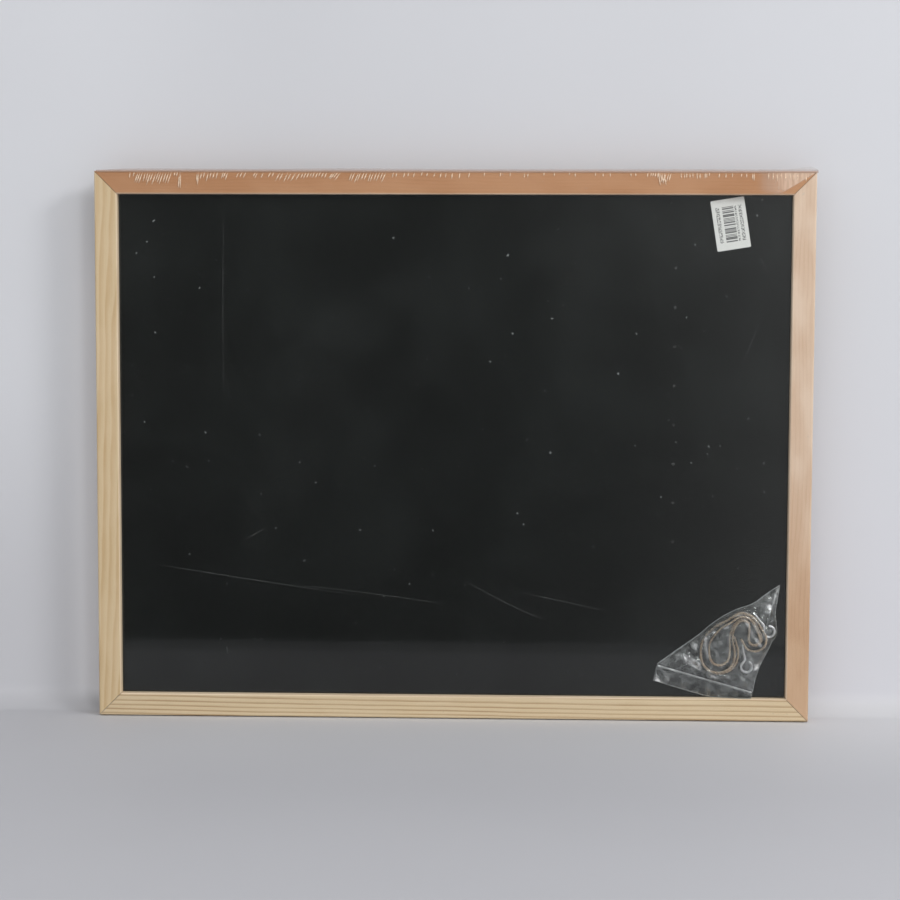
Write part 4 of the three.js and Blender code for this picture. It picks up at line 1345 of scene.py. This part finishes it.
def wrinkle_points():
    chance = random.Random(5)
    spots, leans, reaches = [], [], []
    for start, end, count, reach, lean in WRINKLE_BUNCHES:
        stray = SHORT_STRAY if reach < SHORT_WRINKLE else LONG_STRAY
        for i in range(count):
            x = start + (end - start) * (i + 0.5 + chance.uniform(-stray, stray)) / count
            drop = chance.uniform(*WRINKLE_DROP)
            spots.append((x * MM, wrap_low.y, frame_high.z - drop * MM))
            leans.append(math.radians(lean + chance.gauss(0, LEAN_SPREAD)))
            reaches.append(reach * chance.uniform(*REACH_SHARE) * MM)
    seats = mesh_object("wrinkle_points", spots)
    for name, values in (("lean", leans), ("reach", reaches)):
        seats.data.attributes.new(name, "FLOAT", "POINT").data.foreach_set("value", values)
    return seats


def wrinkle_tree():
    """A leaf of length 1 hangs down from each point. It is widest in its lower part."""
    tree, inputs = geometry_tree("film_wrinkles", ["Width", "Rise"])
    line = tree.node("GeometryNodeCurvePrimitiveBezierSegment",
                     {"Resolution": 8, "Start": (0, 0, 0), "Start Handle": (0.4, 0, -0.3),
                      "End Handle": (-0.4, 0, -0.7), "End": (0, 0, -1)})
    steps = tree.node("GeometryNodeResampleCurve", {"Curve": line, "Count": 9})
    factor = tree.node("GeometryNodeSplineParameter", output="Factor")
    swell = (factor ** 1.4 * math.pi).sin() * 0.5 + 0.02
    leaf = sweep_profile(tree, steps, circle(tree, 6), swell)
    reach, lean = (tree.node("GeometryNodeInputNamedAttribute", {"Name": name}, data_type="FLOAT")
                   for name in ("reach", "lean"))
    leaves = tree.node("GeometryNodeInstanceOnPoints",
                       {"Points": inputs["Geometry"], "Instance": leaf,
                        "Rotation": tree.join(0.0, lean * -1, 0.0),
                        "Scale": tree.join(inputs["Width"], inputs["Rise"], reach)})
    return end_tree(tree, leaves, inputs)


# %% Raise the wrinkles
def wrinkle_finish(name, color, least, most):
    """Least and most are the ends of its alpha, which follows a fine grain."""
    tree, place = new_finish(name)
    grain = tree.noise(place, 700.0, 2.0)
    alpha = grain.step(0.3, 0.7) * (most - least) + least
    return finish_surface(tree, Base_Color=color, Roughness=grain * 0.2 + 0.15, Alpha=alpha)


wrinkled_film = wrinkle_finish("wrinkled_film", srgb(252, 224, 194), 0.5, 0.92)
wrinkles = run_tree(wrinkle_points(), wrinkle_tree(), "film_wrinkles", Width=WRINKLE_WIDTH,
                    Rise=WRINKLE_RISE, Material=wrinkled_film)
carry(wrinkles)
print(f"film wrinkles: {len(wrinkles.data.polygons)} faces")

# %% [markdown]
# A few long creases cross the film in front of the panel, hardly wider than a hair. They are swept like
# wire, thin at both ends. The film has a row of small vent holes as well, with faint rims.

# %% Long creases and vent rims
# Each crease: start and end in millimetres from the board's middle and from the table, and its radius
FILM_CREASES = [
    ((-184.8, 93.5), (-60.0, 75.0), 0.1), ((-96.0, 81.0), (1.8, 69.0), 0.08),
    ((7.7, 84.2), (55.7, 60.4), 0.1), ((34.7, 78.3), (97.5, 65.0), 0.08),
    ((-125.6, 107.3), (-112.3, 114.6), 0.1), ((-136.0, 312.0), (-136.6, 191.0), 0.06),
    ((181.0, 277.0), (185.0, 269.0), 0.1), ((183.0, 244.0), (171.0, 214.0), 0.06),
]
CREASE_STEPS = 24
CREASE_SWAY = 0.02
RIM_RADIUS = 0.6
RIM_STEPS = 16
RIM_WIRE = 0.09
VENT_X = 131.2
VENT_TOP = 270.9
VENT_SPACING = 23.2
VENT_COUNT = 8


def crease_runs():
    chance = random.Random(9)
    for (x0, z0), (x1, z1), radius in FILM_CREASES:
        sway = chance.uniform(-CREASE_SWAY, CREASE_SWAY)
        points, radii = [], []
        for i in range(CREASE_STEPS + 1):
            share = i / CREASE_STEPS
            arch = math.sin(share * math.pi)
            x = x0 + (x1 - x0) * share - (z1 - z0) * sway * arch
            z = z0 + (z1 - z0) * share + (x1 - x0) * sway * arch
            points.append((x * MM, wrap_low.y, z * MM))
            radii.append(radius * arch * chance.uniform(0.5, 1.0) + 0.01)
        yield points, radii


def rim_runs():
    angles = [2 * math.pi * step / RIM_STEPS for step in range(RIM_STEPS + 1)]
    for i in range(VENT_COUNT):
        points = [((VENT_X + RIM_RADIUS * math.cos(angle)) * MM, wrap_low.y,
                   (VENT_TOP - VENT_SPACING * i + RIM_RADIUS * math.sin(angle)) * MM) for angle in angles]
        yield from even_run(points, RIM_WIRE)


creased_film = wrinkle_finish("creased_film", srgb(232, 234, 232), 0.04, 0.15)
for name, runs in (("film_creases", crease_runs()), ("film_vent_rims", rim_runs())):
    piece = sweep(name, runs, creased_film)
    print(name, len(piece.data.polygons), "faces")

# %% [markdown]
# Along the top the film stands a little above the rail as a seam, and at the upper right corner it
# stands up in an ear. One thin strip gives both: it laps over the front of the film by a millimetre, and
# its height follows a list of places along the edge.

# %% The seam and its ear
# Each place: millimetres from the board's middle, and the seam's height over the film
SEAM_HEIGHTS = [(-212, 0.2), (-190, 1.1), (-120, 0.8), (-60, 1.3), (0, 0.9), (60, 1.1), (120, 1.2),
                (170, 0.9), (196, 1.0), (202, 1.6), (206.6, 2.5), (210.1, 2.7), (212.5, 1.7), (213.7, 0.5)]
SEAM_STEP = 1.5
SEAM_LAP = 1.1 * MM
SEAM_LIFT = 0.06 * MM
SEAM_SWAY = 0.15 * MM
# The seam's two waves, each with its share and length in millimetres, and in metres where it fades
SEAM_WAVES = ((0.25, 5.0), (0.15, 1.9))
SEAM_FADE = (-0.0004, 0.0015)


def seam_sheet():
    places, heights = zip(*SEAM_HEIGHTS)
    rows = []
    for x in np.arange(places[0], places[-1] + SEAM_STEP, SEAM_STEP):
        height = float(np.interp(x, places, heights))
        sway = sum(share * math.sin(x / length) for share, length in SEAM_WAVES)
        for share in (0.0, 0.5, 1.0):
            rows.append((x * MM, wrap_low.y + sway * share * SEAM_SWAY - SEAM_LIFT,
                         wrap_high.z - SEAM_LAP + (height * MM + SEAM_LAP) * share))
    faces = [(k, k + 3, k + 4, k + 1) for i in range(0, len(rows) - 3, 3) for k in (i, i + 1)]
    piece = mesh_object("film_seam", rows, faces)
    piece.data.shade_smooth()
    scene.collection.objects.link(piece)
    return piece


def seam_finish():
    tree, place = new_finish("seam_film")
    grain = tree.noise(place, 350.0, 2.0)
    _, _, height = tree.split(place)
    fade = 1 - height.step(*(wrap_high.z + end for end in SEAM_FADE))
    return finish_surface(tree, Base_Color=srgb(172, 142, 122), Roughness=0.3,
                          Alpha=fade * 0.5 + grain * 0.12 + 0.08)


seam = seam_sheet()
carry(seam, seam_finish())
print(f"film seam: {len(seam.data.polygons)} faces")

# %% [markdown]
# ## Stage
#
# The board stands on a pale table in front of a pale wall, which meet in a small round cove. The panel
# mirrors only the part of the table that is near the board, as the real one does, and the mirror image
# fades out. So the paper is cut into three sheets: reflections show the back one in full, a narrow
# middle one by half, and the front one not at all. The wall is a little paler at the left, where the
# board's shadow falls, because the photograph's shadow is soft and weak there.

# %% Table and wall
WALL_GAP = 13 * MM
COVE = 14 * MM
COVE_STEPS = 12
TABLE_DROP = 0.1 * MM
MIRRORED_TABLE = 257 * MM
DIM_STRIP = 41 * MM
# In metres: where the table ends in front, how high the wall is, and half the width of both
TABLE_FRONT = -1.6
WALL_TOP = 2.2
HALF_WIDTH = 2.5
# Colours of the paper, with painted light and shade in some of them, and the places in metres between which
# one goes over into the next
WALL = srgb(212, 213, 217)
# Painted light: the low wall at the right is paler, against the shade of the cove
LOW_WALL = srgb(216, 216, 221)
WALL_RISE = (0.02, 0.3)
# Painted light and shade: the wall at the left is paler above and darker towards the table
LEFT_WALL = srgb(221, 222, 226)
LEFT_LOW_WALL = srgb(206, 206, 210)
LEFT_WALL_RISE = (0.05, 0.24)
LEFT_WALL_END = (-0.24, -0.08)
SHADED_WALL = srgb(238, 238, 242)
SHADED_SIDE = (-0.24, -0.217)
SHADED_TOP = (0.25, 0.32)
TABLE = srgb(187, 187, 191)
# Painted light: the table by the board is paler, against the board's shade
TABLE_BY_BOARD = srgb(203, 203, 206)
TABLE_DEPTH = (-0.2, 0.0)
TABLE_SIDE = (-0.26, -0.12)
# Grey for clouds in the paper, and for the dimmed painted reflection of the middle sheet
PAPER_CLOUD_AND_DIM_REFLECTION = srgb(60, 60, 62)


def stage_finish(name, mirrored=1.0):
    """Mirrored is the share of the paper's colour that reflections show."""
    tree, place = new_finish(name)
    cloud = tree.noise(place, 5.0, 3.0)
    grain = tree.noise(place, 900.0, 2.0)
    across, depth, height = tree.split(place)
    # Painted light and shade of the wall and the table, from the colours above
    left = tree.mix(height.step(*LEFT_WALL_RISE), LEFT_LOW_WALL, LEFT_WALL)
    shaded = across.step(*SHADED_SIDE) * (1 - height.step(*SHADED_TOP))
    left = tree.mix(shaded, left, SHADED_WALL)
    right = tree.mix(height.step(*WALL_RISE), LOW_WALL, WALL)
    upper = tree.mix(across.step(*LEFT_WALL_END), left, right)
    by_board = depth.step(*TABLE_DEPTH) * across.step(*TABLE_SIDE)
    lower = tree.mix(by_board, TABLE, TABLE_BY_BOARD)
    paper = tree.mix(height.step(COVE * 0.2, COVE), lower, upper)
    reflected = tree.node("ShaderNodeLightPath", output="Is Glossy Ray") * (1 - mirrored)
    color = tree.mix((cloud * 0.06).largest(reflected), paper, PAPER_CLOUD_AND_DIM_REFLECTION)
    return finish_surface(tree, Base_Color=color, Roughness=0.6, Specular_IOR_Level=0.25,
                          Normal=tree.bump(grain, 0.00003, 0.3))


def bent_sheet(name, profile, finish):
    """A sheet of paper that follows a profile of depths and heights."""
    rows = [(side * HALF_WIDTH, y, z) for y, z in profile for side in (-1, 1)]
    faces = [(2 * i, 2 * i + 1, 2 * i + 3, 2 * i + 2) for i in range(len(profile) - 1)]
    sheet = mesh_object(name, rows, faces)
    sheet.data.shade_smooth()
    sheet.data.materials.append(finish)
    scene.collection.objects.link(sheet)
    return sheet


stage_paper = stage_finish("stage_paper")
dim_paper = stage_finish("stage_paper_dim", mirrored=0.5)
wall = frame_high.y + WALL_GAP
cove = [(wall - COVE + COVE * math.sin(angle), COVE - COVE * math.cos(angle) - TABLE_DROP)
        for angle in np.linspace(0, math.pi / 2, COVE_STEPS)]
half_mirrored = frame_low.y - MIRRORED_TABLE + DIM_STRIP
last_mirrored = frame_low.y - MIRRORED_TABLE
table_front, last, half = ((y, -TABLE_DROP) for y in (TABLE_FRONT, last_mirrored, half_mirrored))
bent_sheet("stage_back", [half, *cove, (wall, WALL_TOP)], stage_paper)
bent_sheet("stage_middle", [last, half], dim_paper)
front = bent_sheet("stage_front", [table_front, last], stage_paper)
front.visible_glossy = False
print("stage set")

# %% [markdown]
# ## Light
#
# The room is pale and gives most of the light. A soft lamp high at the right throws the board's shadow
# to the left on the wall, and a weaker one nearer the front fills in. Only the direction from which the
# board is looked at is dark. The flat panel mirrors that dark place and stays black, with a gleam at its
# right, while every crumple of the film that turns away from it catches the pale room.

# %% Lamps and room
LAMP_AIM = Vector((0.05, 0, 0.16))
# Each lamp: name, place and size in metres, power in watts
LAMPS = [("key", (1.35, -1.0, 1.2), 0.5, 11.0), ("front", (0.5, -1.3, 0.95), 0.3, 3.0)]
DARK_AXIS = Vector((-0.122, -0.99, -0.07))
# Cosines of the angle to that axis, between which the dark goes over into the pale room
DARK_EDGE = (0.94, 0.995)
DARK_LEVEL = 0.02
ROOM_LEVEL = 0.84
ROOM_SLOPE = 0.12
ROOM_COLOR = (0.98, 0.99, 1.0, 1.0)

for name, place, size, power in LAMPS:
    lamp_data = bpy.data.lights.new(name, "AREA")
    lamp_data.shape = "DISK"
    lamp_data.size = size
    lamp_data.energy = power
    lamp = bpy.data.objects.new(name, lamp_data)
    lamp.location = place
    lamp.rotation_euler = (LAMP_AIM - Vector(place)).to_track_quat("-Z", "Y").to_euler()
    scene.collection.objects.link(lamp)


def build_room():
    world = bpy.data.worlds.new("room")
    world.use_nodes = True
    world.node_tree.nodes.clear()
    tree = Tree(world.node_tree)
    direction = tree.node("ShaderNodeTexCoord", output="Generated")
    facing = tree.node("ShaderNodeVectorMath", {0: direction, 1: tuple(DARK_AXIS.normalized())}, "Value",
                       operation="DOT_PRODUCT")
    sideways, _, _ = tree.split(direction)
    pale = (1 - facing.step(*DARK_EDGE)) * (sideways * ROOM_SLOPE + ROOM_LEVEL)
    room = tree.node("ShaderNodeBackground", {"Color": ROOM_COLOR, "Strength": pale + DARK_LEVEL})
    tree.node("ShaderNodeOutputWorld", {"Surface": room})
    scene.world = world


build_room()
print("lamps:", ", ".join(lamp[0] for lamp in LAMPS))
